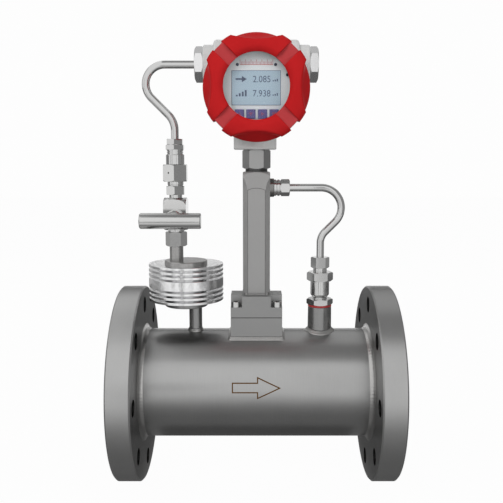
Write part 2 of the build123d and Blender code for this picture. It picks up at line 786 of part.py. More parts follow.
# Valve body block with turned ends and its passages
with BuildPart() as valve_body:
    slab(STACK_X - 12.5, STACK_X + 12.5, -15, 15, SPINDLE_Z - 12, SPINDLE_Z + 23)
    turn(
        standing(STACK_X),
        [
            (0, 170),
            (13.4, 177),
            (19.6, 180.5),
            (19.6, 204),
            (18.2, 207.4),
            (15.5, 210),
            (12.0, 211.6),
            (0, 211.6),
        ],
        Mode.INTERSECT,
    )
    turn(
        standing(STACK_X),
        [
            (0, 173.9),
            (9.15, 173.9),
            (9.15, 175.2),
            (13.4, 176),
            (13.4, 177.6),
            (12.4, 178.4),
            (0, 178.4),
        ],
    )
    rod(standing(STACK_X), 7.2, 211, 215)
    rod(standing(STACK_X), 3.0, 170, 189, Mode.SUBTRACT)
    rod(standing(STACK_X), 3.0, 204, 220, Mode.SUBTRACT)
    rod(SPINDLE, 2.5, 0, 6, Mode.SUBTRACT)
    rod(SPINDLE, 4.5, 3, 20, Mode.SUBTRACT)
    lean_to = Vector(0, 8, 17).normalized()
    rise = Plane(origin=(STACK_X, -8, SPINDLE_Z), x_dir=(1, 0, 0), z_dir=lean_to)
    rod(rise, 2.0, 0, 18.8, Mode.SUBTRACT)
valve_body.part.label = "valve_body"
export_step(valve_body.part, "parts/valve_body.step")

# Round bonnet on the front of the valve
with BuildPart() as valve_bonnet:
    turn(
        SPINDLE,
        [(3.56, 15), (9.4, 15), (9.8, 15.4), (9.8, 25.2), (9.0, 26), (3.56, 26)],
    )
valve_bonnet.part.label = "valve_bonnet"
export_step(valve_bonnet.part, "parts/valve_bonnet.step")

# Packing nut round the spindle
with BuildPart() as valve_packing_nut:
    hexagon(SPINDLE, 14.5, 26, 32, 0.6)
    rod(SPINDLE, 3.56, 20, 40, Mode.SUBTRACT)
valve_packing_nut.part.label = "valve_packing_nut"
export_step(valve_packing_nut.part, "parts/valve_packing_nut.step")

# Needle that closes the seat
with BuildPart() as valve_needle:
    turn(SPINDLE, [(0, 1.2), (0.6, 1.2), (2.2, 6), (3.4, 6.6), (3.4, 11.6), (0, 11.6)])
valve_needle.part.label = "valve_needle"
export_step(valve_needle.part, "parts/valve_needle.step")

# Valve spindle
with BuildPart() as valve_spindle:
    turn(SPINDLE, [(0, 11.65), (3.5, 11.65), (3.5, 46), (0, 46)])
valve_spindle.part.label = "valve_spindle"
export_step(valve_spindle.part, "parts/valve_spindle.step")

# Round bar handle across the spindle
with BuildPart() as valve_handle:
    bar = Plane(origin=(STACK_X - 1, -45, SPINDLE_Z + 0.3), x_dir=(0, 1, 0), z_dir=(1, 0, 0))
    turn(
        bar,
        [(0, -32.5), (7.4, -32.5), (8.35, -31.5), (8.35, 31.5), (7.4, 32.5), (0, 32.5)],
    )
    rod(SPINDLE, 3.52, 20, 46, Mode.SUBTRACT)
valve_handle.part.label = "valve_handle"
export_step(valve_handle.part, "parts/valve_handle.step")

# Union nut on the valve inlet
with BuildPart() as valve_inlet_nut:
    hexagon(standing(STACK_X), 21.0, 157.5, 173.9, 1.0, 0)
    rod(standing(STACK_X), 7.67, 150, 165, Mode.SUBTRACT)
    rod(standing(STACK_X), 3.0, 150, 180, Mode.SUBTRACT)
valve_inlet_nut.part.label = "valve_inlet_nut"
export_step(valve_inlet_nut.part, "parts/valve_inlet_nut.step")

# Short tube from the cooler to the valve
with BuildPart() as cooler_outlet_tube:
    ring(standing(STACK_X), 4.0, 7.65, 141.3, 165)
cooler_outlet_tube.part.label = "cooler_outlet_tube"
export_step(cooler_outlet_tube.part, "parts/cooler_outlet_tube.step")

# Lid disc of the cooler
with BuildPart() as cooler_lid:
    turn(standing(COOLER_X), [(0, 137.9), (24, 137.9), (24, 140.7), (23.4, 141.3), (0, 141.3)])
    rod(standing(STACK_X), 4.0, 130, 150, Mode.SUBTRACT)
cooler_lid.part.label = "cooler_lid"
export_step(cooler_lid.part, "parts/cooler_lid.step")

# Finned cooling sleeve
FIN_LEVELS = (
    (96.9, 99.8),
    (102.0, 104.9),
    (107.1, 110.0),
    (112.2, 122.6),
    (124.8, 127.7),
    (129.9, 132.8),
    (135.0, 137.9),
)
fin_outline = [(20.05, 96.9)]
for low, high in FIN_LEVELS:
    if low > 96.9:
        fin_outline.append((23, low))
    fin_outline.append((FIN_R - 0.3, low))
    fin_outline.append((FIN_R, low + 0.3))
    fin_outline.append((FIN_R, high - 0.3))
    fin_outline.append((FIN_R - 0.3, high))
    if high < 137.9:
        fin_outline.append((23, high))
fin_outline.append((20.05, 137.9))
with BuildPart() as cooler_fins:
    turn(standing(COOLER_X), fin_outline)
cooler_fins.part.label = "cooler_fins"
export_step(cooler_fins.part, "parts/cooler_fins.step")

# Steel chamber inside the cooling sleeve
with BuildPart() as cooler_chamber:
    turn(
        standing(COOLER_X),
        [
            (0, 89.6),
            (23.4, 89.6),
            (24, 90.2),
            (24, 96.9),
            (20, 96.9),
            (20, 137.9),
            (15, 137.9),
            (15, 97),
            (0, 97),
        ],
    )
    rod(standing(TAP_X), 4.0, 85, 100, Mode.SUBTRACT)
cooler_chamber.part.label = "cooler_chamber"
export_step(cooler_chamber.part, "parts/cooler_chamber.step")

# Tapping tube between the pipe and the cooler
with BuildPart() as tap_tube:
    ring(standing(TAP_X), 4.0, 7.25, 50, 89.6)
    rod(ALONG, TUBE_R + 0.02, TAP_X - 30, TAP_X + 30, Mode.SUBTRACT)
tap_tube.part.label = "tap_tube"
export_step(tap_tube.part, "parts/tap_tube.step")

# Weld bead at the foot of the tapping tube
with BuildPart() as tap_weld:
    turn(
        standing(TAP_X),
        [(7.27, 50), (9.8, 50), (9.8, 61.2), (8.6, 62.3), (7.9, 63.4), (7.27, 64.6)],
    )
    rod(ALONG, TUBE_R + 0.02, TAP_X - 30, TAP_X + 30, Mode.SUBTRACT)
tap_weld.part.label = "tap_weld"
export_step(tap_weld.part, "parts/tap_weld.step")

# Nipple on the side of the stem
with BuildPart() as side_nipple:
    turn(
        SIDE,
        [
            (4, STEM_HALF),
            (10.25, STEM_HALF),
            (10.25, STEM_HALF + 4),
            (9.6, STEM_HALF + 4.7),
            (4, STEM_HALF + 4.7),
        ],
    )
side_nipple.part.label = "side_nipple"
export_step(side_nipple.part, "parts/side_nipple.step")

# Ringed nut that holds the temperature conduit at the stem
with BuildPart() as side_conduit_nut:
    seat = SIDE.offset(STEM_HALF + 4.7)
    turn(
        seat,
        [
            (0, 0),
            (9.1, 0),
            (9.1, 2.2),
            (8.3, 2.5),
            (8.3, 3.3),
            (9.1, 3.6),
            (9.1, 5.9),
            (8.2, 6.3),
            (8.2, 7.3),
            (0, 7.3),
        ],
    )
    hexagon(seat, 16.4, 7.1, 17.2, 0.9, 30)
    rod(seat, CONDUIT_R + 0.02, 7.3, 20, Mode.SUBTRACT)
    rod(seat, CONDUIT_BORE - 0.25, -5, 10, Mode.SUBTRACT)
side_conduit_nut.part.label = "side_conduit_nut"
export_step(side_conduit_nut.part, "parts/side_conduit_nut.step")

# Bent conduit from the stem to the temperature fitting
with BuildPart() as temperature_conduit:
    with BuildLine(Plane.XZ) as temperature_route:
        FilletPolyline(
            (MID + STEM_HALF + 12.5, SIDE_Z),
            (TEMP_X + 54.5, SIDE_Z),
            (TEMP_X, SIDE_Z - 54.5),
            (TEMP_X, 137 + CROWN_RISE),
            radius=(22.4, 16.5),
        )
    with BuildSketch(Plane(origin=temperature_route.line @ 0, z_dir=temperature_route.line % 0)):
        Circle(CONDUIT_R)
        Circle(CONDUIT_BORE, mode=Mode.SUBTRACT)
    sweep(path=temperature_route.line)
temperature_conduit.part.label = "temperature_conduit"
export_step(temperature_conduit.part, "parts/temperature_conduit.step")

# Nut at the foot of the temperature conduit
with BuildPart() as temperature_conduit_nut:
    hexagon(standing(TEMP_X), 18.2, 132.7, 145, 0.8, 0)
    rod(standing(TEMP_X), CONDUIT_R + 0.02, 136.8, 150, Mode.SUBTRACT)
    rod(standing(TEMP_X), 3.0, 130, 150, Mode.SUBTRACT)
temperature_conduit_nut.part.label = "temperature_conduit_nut"
export_step(temperature_conduit_nut.part, "parts/temperature_conduit_nut.step")

# Temperature fitting with its hexagon and tapered foot
with BuildPart() as temperature_fitting:
    hexagon(standing(TEMP_X), 25.7, 118, 128, 1.2, 0)
    turn(
        standing(TEMP_X),
        [
            (0, 97.6),
            (8.0, 97.6),
            (8.0, 99.2),
            (10.0, 101.6),
            (10.5, 102.6),
            (10.5, 118.5),
            (7.6, 118.5),
            (7.6, 132.7),
            (0, 132.7),
        ],
    )
    rod(standing(TEMP_X), 3.0, 90, 140, Mode.SUBTRACT)
temperature_fitting.part.label = "temperature_fitting"
export_step(temperature_fitting.part, "parts/temperature_fitting.step")

# Hexagon plug that closes the boss
with BuildPart() as thermowell_plug:
    hexagon(standing(TEMP_X), 25.9, 90.8, 97.6, 1.1, 0)
    rod(standing(TEMP_X), 7.95, 76, 91.2)
    rod(standing(TEMP_X), 4.03, 70, 100, Mode.SUBTRACT)
thermowell_plug.part.label = "thermowell_plug"
export_step(thermowell_plug.part, "parts/thermowell_plug.step")

# Sealing ring under the hexagon plug
with BuildPart() as thermowell_gasket:
    ring(standing(TEMP_X), 8.0, 13.3, 88.9, 90.8)
thermowell_gasket.part.label = "thermowell_gasket"
export_step(thermowell_gasket.part, "parts/thermowell_gasket.step")

# Boss welded on the tube for the temperature probe
with BuildPart() as temperature_boss:
    turn(
        standing(TEMP_X),
        [(8, 50), (13.35, 50), (13.35, 61), (13.15, 88.3), (12.6, 88.9), (8, 88.9)],
    )
    rod(ALONG, TUBE_R + 0.02, TEMP_X - 40, TEMP_X + 40, Mode.SUBTRACT)
temperature_boss.part.label = "temperature_boss"
export_step(temperature_boss.part, "parts/temperature_boss.step")

# Weld bead round the boss
with BuildPart() as temperature_boss_weld:
    turn(
        standing(TEMP_X),
        [(13.37, 50), (17.8, 50), (17.8, 60.2), (15.8, 60.9), (14.3, 62.4), (13.37, 64.6)],
    )
    rod(ALONG, TUBE_R + 0.02, TEMP_X - 40, TEMP_X + 40, Mode.SUBTRACT)
    rod(standing(TEMP_X), 13.37, 40, 70, Mode.SUBTRACT)
temperature_boss_weld.part.label = "temperature_boss_weld"
export_step(temperature_boss_weld.part, "parts/temperature_boss_weld.step")

# Temperature probe that reaches into the bore
with BuildPart() as temperature_probe:
    turn(
        standing(TEMP_X),
        [(0, 14), (2.4, 14), (4, 15.8), (4, 97.5), (0, 97.5)],
    )
temperature_probe.part.label = "temperature_probe"
export_step(temperature_probe.part, "parts/temperature_probe.step")
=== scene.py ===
import json
import math

import bmesh
import bpy
from mathutils import Matrix, Vector

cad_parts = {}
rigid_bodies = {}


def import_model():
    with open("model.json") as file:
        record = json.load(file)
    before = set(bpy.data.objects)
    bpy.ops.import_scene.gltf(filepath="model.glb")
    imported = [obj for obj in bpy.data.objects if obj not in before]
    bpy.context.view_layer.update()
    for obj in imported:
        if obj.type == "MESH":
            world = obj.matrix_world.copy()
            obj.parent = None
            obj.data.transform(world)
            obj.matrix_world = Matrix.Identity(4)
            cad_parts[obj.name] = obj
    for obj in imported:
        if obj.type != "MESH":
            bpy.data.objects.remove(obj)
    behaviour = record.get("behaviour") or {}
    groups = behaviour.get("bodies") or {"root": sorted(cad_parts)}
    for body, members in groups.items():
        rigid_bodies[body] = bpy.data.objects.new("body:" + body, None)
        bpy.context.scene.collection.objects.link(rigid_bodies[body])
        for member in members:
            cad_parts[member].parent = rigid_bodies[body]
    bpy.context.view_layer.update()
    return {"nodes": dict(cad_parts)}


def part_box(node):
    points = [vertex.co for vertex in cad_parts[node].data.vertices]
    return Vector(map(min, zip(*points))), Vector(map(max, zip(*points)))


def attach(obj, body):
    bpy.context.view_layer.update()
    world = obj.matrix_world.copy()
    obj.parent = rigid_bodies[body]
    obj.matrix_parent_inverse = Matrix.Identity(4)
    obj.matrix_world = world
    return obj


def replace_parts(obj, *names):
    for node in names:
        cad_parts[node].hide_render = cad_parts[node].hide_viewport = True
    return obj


# The measured frame: the meter's solids come from the imported model, in metres, and every piece
# made below is placed by the same sizes.
for leftover in list(bpy.data.objects):
    bpy.data.objects.remove(leftover)
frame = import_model()
nodes = frame["nodes"]

# The studio: a pale floor that keeps the meter's shadow, a white surround, three soft lamps,
# and grey boards beside, behind, above and below that give bright metal its darker sides. The
# camera stands where the photograph was taken from.
scene = bpy.context.scene
scene.view_settings.view_transform = "Standard"
FLOOR_Z = -0.1102
FLOOR_HALF = 6.0
FLOOR_WHITE = 0.975


def node_material(name):
    material = bpy.data.materials.new(name)
    material.use_nodes = True
    tree = material.node_tree
    tree.nodes.clear()
    return material, tree


def link(tree, source, output, target, socket):
    tree.links.new(source.outputs[output], target.inputs[socket])


def looked_at(tree):
    # One for a ray from the eye, a mirror or a pane of glass, and nought for soft light
    rays = tree.nodes.new("ShaderNodeLightPath")
    mirrored = tree.nodes.new("ShaderNodeMath")
    mirrored.operation = "MAXIMUM"
    passed = tree.nodes.new("ShaderNodeMath")
    passed.operation = "MAXIMUM"
    link(tree, rays, "Is Camera Ray", mirrored, 0)
    link(tree, rays, "Is Glossy Ray", mirrored, 1)
    link(tree, mirrored, 0, passed, 0)
    link(tree, rays, "Is Transmission Ray", passed, 1)
    return passed


studio_floor, tree = node_material("studio_floor")
out = tree.nodes.new("ShaderNodeOutputMaterial")
lit = tree.nodes.new("ShaderNodeBsdfDiffuse")
lit.inputs["Color"].default_value = (0.45, 0.45, 0.45, 1)
glow = tree.nodes.new("ShaderNodeEmission")
glow.inputs["Color"].default_value = (1, 1, 1, 1)
glow.inputs["Strength"].default_value = 1.0
share = tree.nodes.new("ShaderNodeMath")
share.operation = "MULTIPLY"
share.inputs[1].default_value = FLOOR_WHITE
mix = tree.nodes.new("ShaderNodeMixShader")
link(tree, looked_at(tree), 0, share, 0)
link(tree, share, 0, mix, "Fac")
link(tree, lit, 0, mix, 1)
link(tree, glow, 0, mix, 2)
link(tree, mix, 0, out, "Surface")

mesh = bpy.data.meshes.new("floor")
floor_corners = [
    (-FLOOR_HALF, -FLOOR_HALF, FLOOR_Z),
    (FLOOR_HALF, -FLOOR_HALF, FLOOR_Z),
    (FLOOR_HALF, FLOOR_HALF, FLOOR_Z),
    (-FLOOR_HALF, FLOOR_HALF, FLOOR_Z),
]
mesh.from_pydata(floor_corners, [], [(0, 1, 2, 3)])
floor = bpy.data.objects.new("floor", mesh)
scene.collection.objects.link(floor)
floor.data.materials.append(studio_floor)

world = bpy.data.worlds.new("studio")
scene.world = world
world.use_nodes = True
tree = world.node_tree
tree.nodes.clear()
out = tree.nodes.new("ShaderNodeOutputWorld")
seen = tree.nodes.new("ShaderNodeBackground")
seen.inputs["Color"].default_value = (0.984, 0.984, 0.984, 1)
fill = tree.nodes.new("ShaderNodeBackground")
fill.inputs["Color"].default_value = (1, 1, 1, 1)
fill.inputs["Strength"].default_value = 0.42
mix = tree.nodes.new("ShaderNodeMixShader")
link(tree, looked_at(tree), 0, mix, "Fac")
link(tree, fill, 0, mix, 1)
link(tree, seen, 0, mix, 2)
link(tree, mix, 0, out, "Surface")


def board(name, grey, corners):
    # A flat grey panel that only polished surfaces see
    card, tree = node_material(name)
    out = tree.nodes.new("ShaderNodeOutputMaterial")
    plain = tree.nodes.new("ShaderNodeEmission")
    plain.inputs["Color"].default_value = (grey, grey, grey, 1)
    link(tree, plain, 0, out, "Surface")
    mesh = bpy.data.meshes.new(name)
    mesh.from_pydata(corners, [], [(0, 1, 2, 3)])
    panel = bpy.data.objects.new(name, mesh)
    scene.collection.objects.link(panel)
    panel.data.materials.append(card)
    panel.visible_camera = False
    panel.visible_diffuse = False
    panel.visible_shadow = False
    panel.visible_transmission = False
    return tree, plain


CEILING_Z = 1.5


def upright_board(name, grey, start, end, low=FLOOR_Z + 0.001, top=CEILING_Z):
    return board(name, grey, [(*start, low), (*end, low), (*end, top), (*start, top)])


def flat_board(name, grey, left, right, near, far, height):
    front_edge = [(left, near, height), (right, near, height)]
    back_edge = [(right, far, height), (left, far, height)]
    return board(name, grey, front_edge + back_edge)


LEFT_NEAR, LEFT_FAR = (-1.15, -0.25), (-1.25, 0.9)
BACK_LEFT, BACK_RIGHT = (-0.5, 1.7), (0.8, 1.7)
RIGHT_NEAR, RIGHT_FAR = (0.99, -1.0), (1.45, 0.9)
upright_board("board_left_low", 0.26, LEFT_NEAR, LEFT_FAR, top=0.30)
upright_board("board_left_high", 0.75, LEFT_NEAR, LEFT_FAR, low=0.30)
# Middle, width, grey and top of each narrow board in front of the meter
FRONT_STRIPS = (
    (-0.78, 0.16, 0.40, 0.5),
    (-0.33, 0.07, 0.30, 0.5),
    (-0.01, 0.12, 0.42, 0.14),
    (0.30, 0.06, 0.55, 0.5),
    (0.68, 0.16, 0.30, 0.5),
)
STRIPS_Y = -0.6
STRIPS_LOW = -0.02
for number, (middle, width, grey, top) in enumerate(FRONT_STRIPS, start=1):
    left_end = (middle - width / 2, STRIPS_Y)
    right_end = (middle + width / 2, STRIPS_Y)
    upright_board("board_front_" + str(number), grey, left_end, right_end, STRIPS_LOW, top)
upright_board("board_right", 0.31, RIGHT_NEAR, RIGHT_FAR)
upright_board("board_back_left", 0.42, LEFT_FAR, BACK_LEFT)
upright_board("board_back_right", 0.30, RIGHT_FAR, BACK_RIGHT)
upright_board("board_back", 0.06, BACK_LEFT, BACK_RIGHT, 0.45, 0.85)
upright_board("board_back_high", 0.55, BACK_LEFT, BACK_RIGHT, 0.85)
flat_board("board_top", 0.28, -0.22, 1.5, -0.9, 0.3, CEILING_Z)
flat_board("board_top_back", 0.55, -0.22, 1.5, 0.3, 1.7, CEILING_Z)

# The board on the floor is pale near the reader and darkens towards the meter
FADE_NEAR, FADE_FAR = -1.3, 0.0
tree, plain = flat_board("board_floor", 0.0, -1.3, 1.5, FADE_NEAR, 1.7, FLOOR_Z + 0.0001)
place = tree.nodes.new("ShaderNodeTexCoord")
parts = tree.nodes.new("ShaderNodeSeparateXYZ")
spread = tree.nodes.new("ShaderNodeMapRange")
spread.inputs["From Min"].default_value = FADE_NEAR
spread.inputs["From Max"].default_value = FADE_FAR
fade = tree.nodes.new("ShaderNodeValToRGB")
fade.color_ramp.elements[0].color = (0.95, 0.95, 0.95, 1)
fade.color_ramp.elements[1].position = 0.91
fade.color_ramp.elements[1].color = (0.18, 0.18, 0.18, 1)
for far_share, grey in ((0.55, 0.82), (0.76, 0.54), (0.84, 0.29)):
    fade.color_ramp.elements.new(far_share).color = (grey, grey, grey, 1)
link(tree, place, "Object", parts, 0)
link(tree, parts, "Y", spread, "Value")
link(tree, spread, "Result", fade, "Fac")
link(tree, fade, "Color", plain, "Color")
# A dark board under the tube is a painted shadow: it puts the floor's shadow there into the metal's
# reflections
flat_board("board_under_painted_shadow", 0.09, 0.04, 0.27, -0.055, 0.12, FLOOR_Z + 0.0004)
flat_board("board_floor_back", 0.13, -0.5, 1.5, 0.125, 1.7, FLOOR_Z + 0.0003)
flat_board("board_floor_left", 0.42, -1.3, -0.5, -0.5, 1.7, FLOOR_Z + 0.0005)


def soft_lamp(name, place, aim, size, watts):
    light = bpy.data.lights.new(name, "AREA")
    light.shape = "RECTANGLE"
    light.size = size[0]
    light.size_y = size[1]
    light.energy = watts
    lamp = bpy.data.objects.new(name, light)
    lamp.location = place
    lamp.rotation_euler = (Vector(aim) - Vector(place)).to_track_quat("-Z", "Y").to_euler()
    lamp.visible_glossy = False
    scene.collection.objects.link(lamp)


MID_X = 0.155
soft_lamp("key", (-0.7, -1.5, 1.1), (MID_X, 0, 0.15), (0.9, 0.9), 16)
soft_lamp("fill", (1.3, -1.4, 0.5), (MID_X, 0, 0.1), (0.8, 1.0), 7)
soft_lamp("back", (0.2, 1.4, 1.2), (MID_X, 0, 0.2), (1.2, 0.7), 10)

CAMERA_PITCH = 0.13061
camera = bpy.data.cameras.new("photo_view")
camera.sensor_width = 36.0
camera.lens = 50.30
camera.shift_x = -0.00985
photo_view = bpy.data.objects.new("photo_view", camera)
photo_view.location = (MID_X, -0.78524, 0.25407)
photo_view.rotation_euler = (math.pi / 2 - CAMERA_PITCH, 0, 0)
scene.collection.objects.link(photo_view)
scene.camera = photo_view


# Measuring tube: seamless steel pipe with a fine turned skin. The skin's rings run round the
# pipe, and the bare metal is slightly mottled and darker where scale is left.
def skin_group(name, inputs, *outputs):
    # A node group for a piece's skin: its sockets, and the place on the piece it works from
    group = bpy.data.node_groups.new(name, "ShaderNodeTree")
    for socket, value in inputs.items():
        kind = "NodeSocketFloat" if isinstance(value, float) else "NodeSocketVector"
        made = group.interface.new_socket(socket, in_out="INPUT", socket_type=kind)
        made.default_value = value
    for socket in outputs:
        group.interface.new_socket(socket, in_out="OUTPUT", socket_type="NodeSocketFloat")
    given = group.nodes.new("NodeGroupInput")
    result = group.nodes.new("NodeGroupOutput")
    place = group.nodes.new("ShaderNodeTexCoord")
    return group, given.outputs, result.inputs, place.outputs["Object"]


def reckon(tree, operation, *values):
    # One step of arithmetic between nodes, from sockets or plain numbers
    step = tree.nodes.new("ShaderNodeMath")
    step.operation = operation
    for i, value in enumerate(values):
        if isinstance(value, (int, float)):
            step.inputs[i].default_value = value
        else:
            tree.links.new(value, step.inputs[i])
    return step.outputs[0]


def cloudy(tree, spot, scale, detail, roughness=0.5):
    # How cloudy the surface is at a spot
    texture = tree.nodes.new("ShaderNodeTexNoise")
    texture.inputs["Scale"].default_value = scale
    texture.inputs["Detail"].default_value = detail
    texture.inputs["Roughness"].default_value = roughness
    tree.links.new(spot, texture.inputs["Vector"])
    return texture.outputs["Fac"]


metal_skin, given, result, spot = skin_group(
    "metal_skin", {"Stretch": (1.0, 1.0, 1.0), "Line Depth": 0.1, "Mottle": 0.1}, "Tone", "Height"
)
scaled = metal_skin.nodes.new("ShaderNodeVectorMath")
scaled.operation = "MULTIPLY"
metal_skin.links.new(spot, scaled.inputs[0])
metal_skin.links.new(given["Stretch"], scaled.inputs[1])
lines = cloudy(metal_skin, scaled.outputs[0], 60.0, 4, 0.6)
mottled = reckon(metal_skin, "SUBTRACT", cloudy(metal_skin, spot, 28.0, 5, 0.55), 0.5)
mottled = reckon(metal_skin, "MULTIPLY", mottled, given["Mottle"])
lined = reckon(metal_skin, "SUBTRACT", lines, 0.5)
lined = reckon(metal_skin, "MULTIPLY", lined, given["Line Depth"])
tone = reckon(metal_skin, "ADD", reckon(metal_skin, "ADD", mottled, lined), 1.0)
metal_skin.links.new(tone, result["Tone"])
metal_skin.links.new(lines, result["Height"])


def surface(name, bump, deepest):
    # A new material: its shader, wired to the output, and the bump that roughens it
    material, tree = node_material(name)
    out = tree.nodes.new("ShaderNodeOutputMaterial")
    shader = tree.nodes.new("ShaderNodeBsdfPrincipled")
    relief = tree.nodes.new("ShaderNodeBump")
    relief.inputs["Strength"].default_value = bump
    relief.inputs["Distance"].default_value = deepest
    link(tree, relief, 0, shader, "Normal")
    link(tree, shader, 0, out, "Surface")
    return material, tree, shader.inputs, relief.inputs


def tinted(tree, colour, tone):
    # A colour made paler or darker by a tone that changes over the surface
    shade = tree.nodes.new("ShaderNodeVectorMath")
    shade.operation = "SCALE"
    shade.inputs[0].default_value = colour
    tree.links.new(tone, shade.inputs["Scale"])
    return shade.outputs[0]


def bare_metal(
    name, colour, roughness, stretch, depth, mottle, bump=0.05, metallic=1.0, painted_shade_by=None
):
    # Metal with tool lines, their depth and stretch, and a mottle, darker where a painted-shade
    # group says so
    material, tree, shader, relief = surface(name, bump, 0.0005)
    shader["Metallic"].default_value = metallic
    skin = tree.nodes.new("ShaderNodeGroup")
    skin.node_tree = metal_skin
    skin.inputs["Stretch"].default_value = stretch
    skin.inputs["Line Depth"].default_value = depth
    skin.inputs["Mottle"].default_value = mottle
    tone = skin.outputs["Tone"]
    if painted_shade_by:
        shade_group = tree.nodes.new("ShaderNodeGroup")
        shade_group.node_tree = painted_shade_by
        tone = reckon(tree, "MULTIPLY", tone, shade_group.outputs["Tone"])
    tree.links.new(tinted(tree, colour, tone), shader["Base Color"])
    rough = reckon(tree, "MULTIPLY", skin.outputs["Tone"], roughness)
    tree.links.new(rough, shader["Roughness"])
    tree.links.new(skin.outputs["Height"], relief["Height"])
    return material


def dress(material, *names):
    for name in names:
        mesh = nodes[name].data
        mesh.materials.clear()
        mesh.materials.append(material)


pipe_skin = bare_metal("pipe_skin", (0.45, 0.45, 0.447), 0.32, (40.0, 1.0, 1.0), 0.14, 0.16)
dress(pipe_skin, "meter_tube")

# Flanges: forged steel discs, turned all over, so the faces carry fine rings round the pipe's
# axis and the rims are a little brighter than the tube. The eight drilled holes in each, and the
# steel right at their edge, are darkened with a painted shade.
BOLT_CIRCLE_R = 0.090
SHADED_HOLE_R = 0.00925
HALF_PITCH = math.pi / 8


def coordinates(tree, spot):
    # The x, y and z of a spot
    parts = tree.nodes.new("ShaderNodeSeparateXYZ")
    tree.links.new(spot, parts.inputs[0])
    return tuple(parts.outputs)


def distance(tree, a, b):
    # How far two steps at right angles go
    square_a = reckon(tree, "MULTIPLY", a, a)
    square_b = reckon(tree, "MULTIPLY", b, b)
    return reckon(tree, "SQRT", reckon(tree, "ADD", square_a, square_b))


# Painted shade: a darker tone in and round each bolt hole
drilled, given, result, spot = skin_group("drilled_hole_shade", {"Hole Shade Tone": 0.16}, "Tone")
_, y, z = coordinates(drilled, spot)
from_axis = distance(drilled, y, z)
turned = reckon(drilled, "PINGPONG", reckon(drilled, "ARCTAN2", z, y), HALF_PITCH)
out_by = reckon(drilled, "MULTIPLY", from_axis, reckon(drilled, "COSINE", turned))
out_by = reckon(drilled, "SUBTRACT", out_by, BOLT_CIRCLE_R)
round_by = reckon(drilled, "MULTIPLY", from_axis, reckon(drilled, "SINE", turned))
solid = reckon(drilled, "GREATER_THAN", distance(drilled, out_by, round_by), SHADED_HOLE_R)
tone = reckon(drilled, "MAXIMUM", solid, given["Hole Shade Tone"])
drilled.links.new(tone, result["Tone"])

flange_skin = bare_metal(
    "flange_skin", (0.47, 0.47, 0.467), 0.34, (30.0, 6.0, 6.0), 0.12, 0.18, painted_shade_by=drilled
)
flange_shader = flange_skin.node_tree.nodes["Principled BSDF"]
flange_shader.inputs["Specular Tint"].default_value = (0.72, 0.72, 0.72, 1)
dress(flange_skin, "inlet_flange", "outlet_flange")

# Shedder bar: a trapezoid bar that sheds the vortices, machined from stainless steel. It stands
# across the bore and is fixed in the tube at both ends.
shedder_skin = bare_metal("shedder_skin", (0.5, 0.5, 0.49), 0.3, (4.0, 4.0, 20.0), 0.1, 0.1)
dress(shedder_skin, "bluff_body")

# Weld beads: laid by hand in overlapping ripples, darker than the plate beside them. One runs
# round the tube behind each flange, and one round the foot of each block, tube and boss.
weld_skin = bare_metal("weld_skin", (0.52, 0.515, 0.505), 0.30, (6.0, 6.0, 6.0), 0.15, 0.25, 0.1)
TUBE_R = 0.061
METER_LENGTH = 0.31
FLANGE_BACK = 0.028
BEAD_LEG = 0.0064
BEAD_SUNK = 0.0003
BEAD_RIPPLE = 0.00022
BEAD_LEAN = 0.003
BEAD_STEPS = 720
BEAD_RIPPLES = 100


def add_piece(name, points, faces, material, body="meter", smooth=True):
    mesh = bpy.data.meshes.new(name)
    mesh.from_pydata(points, [], faces)
    mesh.update()
    fixed = bmesh.new()
    fixed.from_mesh(mesh)
    bmesh.ops.recalc_face_normals(fixed, faces=fixed.faces)
    fixed.to_mesh(mesh)
    fixed.free()
    mesh.materials.append(material)
    if smooth:
        for polygon in mesh.polygons:
            polygon.use_smooth = True
    piece = bpy.data.objects.new(name, mesh)
    scene.collection.objects.link(piece)
    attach(piece, body)
    return piece


def closed_skin(sections):
    # Faces that join a ring of equal cross-sections into one skin
    count = len(sections[0])
    points = [point for section in sections for point in section]
    faces = []
    for i in range(len(sections)):
        j = (i + 1) % len(sections)
        for k in range(count):
            m = (k + 1) % count
            faces.append((i * count + k, i * count + m, j * count + m, j * count + k))
    return points, faces


def ripple(turn, count, depth):
    # Height share of one ripple: a steep front and a long back
    part = (turn * count) % 1.0
    return 1.0 + depth * (part**0.6 - 0.5)


def about_pipe(section, angle, start, sense):
    # A section of (radius, distance from the joint face), turned to an angle round the pipe
    y, z = math.cos(angle), math.sin(angle)
    return [(start + sense * along, radius * y, radius * z) for radius, along in section]


def flange_bead(start, sense):
    # A concave fillet with shallow ripples, from the flange's face round to the tube
    sections = []
    for i in range(BEAD_STEPS):
        section = [(-BEAD_SUNK, -BEAD_SUNK)]
        for k in range(9):
            turn = math.pi / 2 * k / 8
            lean = BEAD_LEAN * math.sin(2 * turn)
            swell = ripple(i / BEAD_STEPS + lean, BEAD_RIPPLES, 1.0) - 1.0
            leg = BEAD_LEG - BEAD_RIPPLE * swell * math.sin(2 * turn)
            section.append((BEAD_LEG - leg * math.sin(turn), BEAD_LEG - leg * math.cos(turn)))
        section[1] = (BEAD_LEG, -BEAD_SUNK)
        section[-1] = (-BEAD_SUNK, BEAD_LEG)
        section = [(TUBE_R + out_by, FLANGE_BACK + along_by) for out_by, along_by in section]
        sections.append(about_pipe(section, 2 * math.pi * i / BEAD_STEPS, start, sense))
    return closed_skin(sections)


# The bead inside each flange, between the tube's end and the flange's bore
INNER_STEPS = 240
INNER_RIPPLES = 120
INNER_RIPPLE = 0.0003
INNER_FACE = 0.0008
INNER_BACK = 0.004
INNER_RADII = (0.0502, 0.0535, 0.0575, 0.0609)


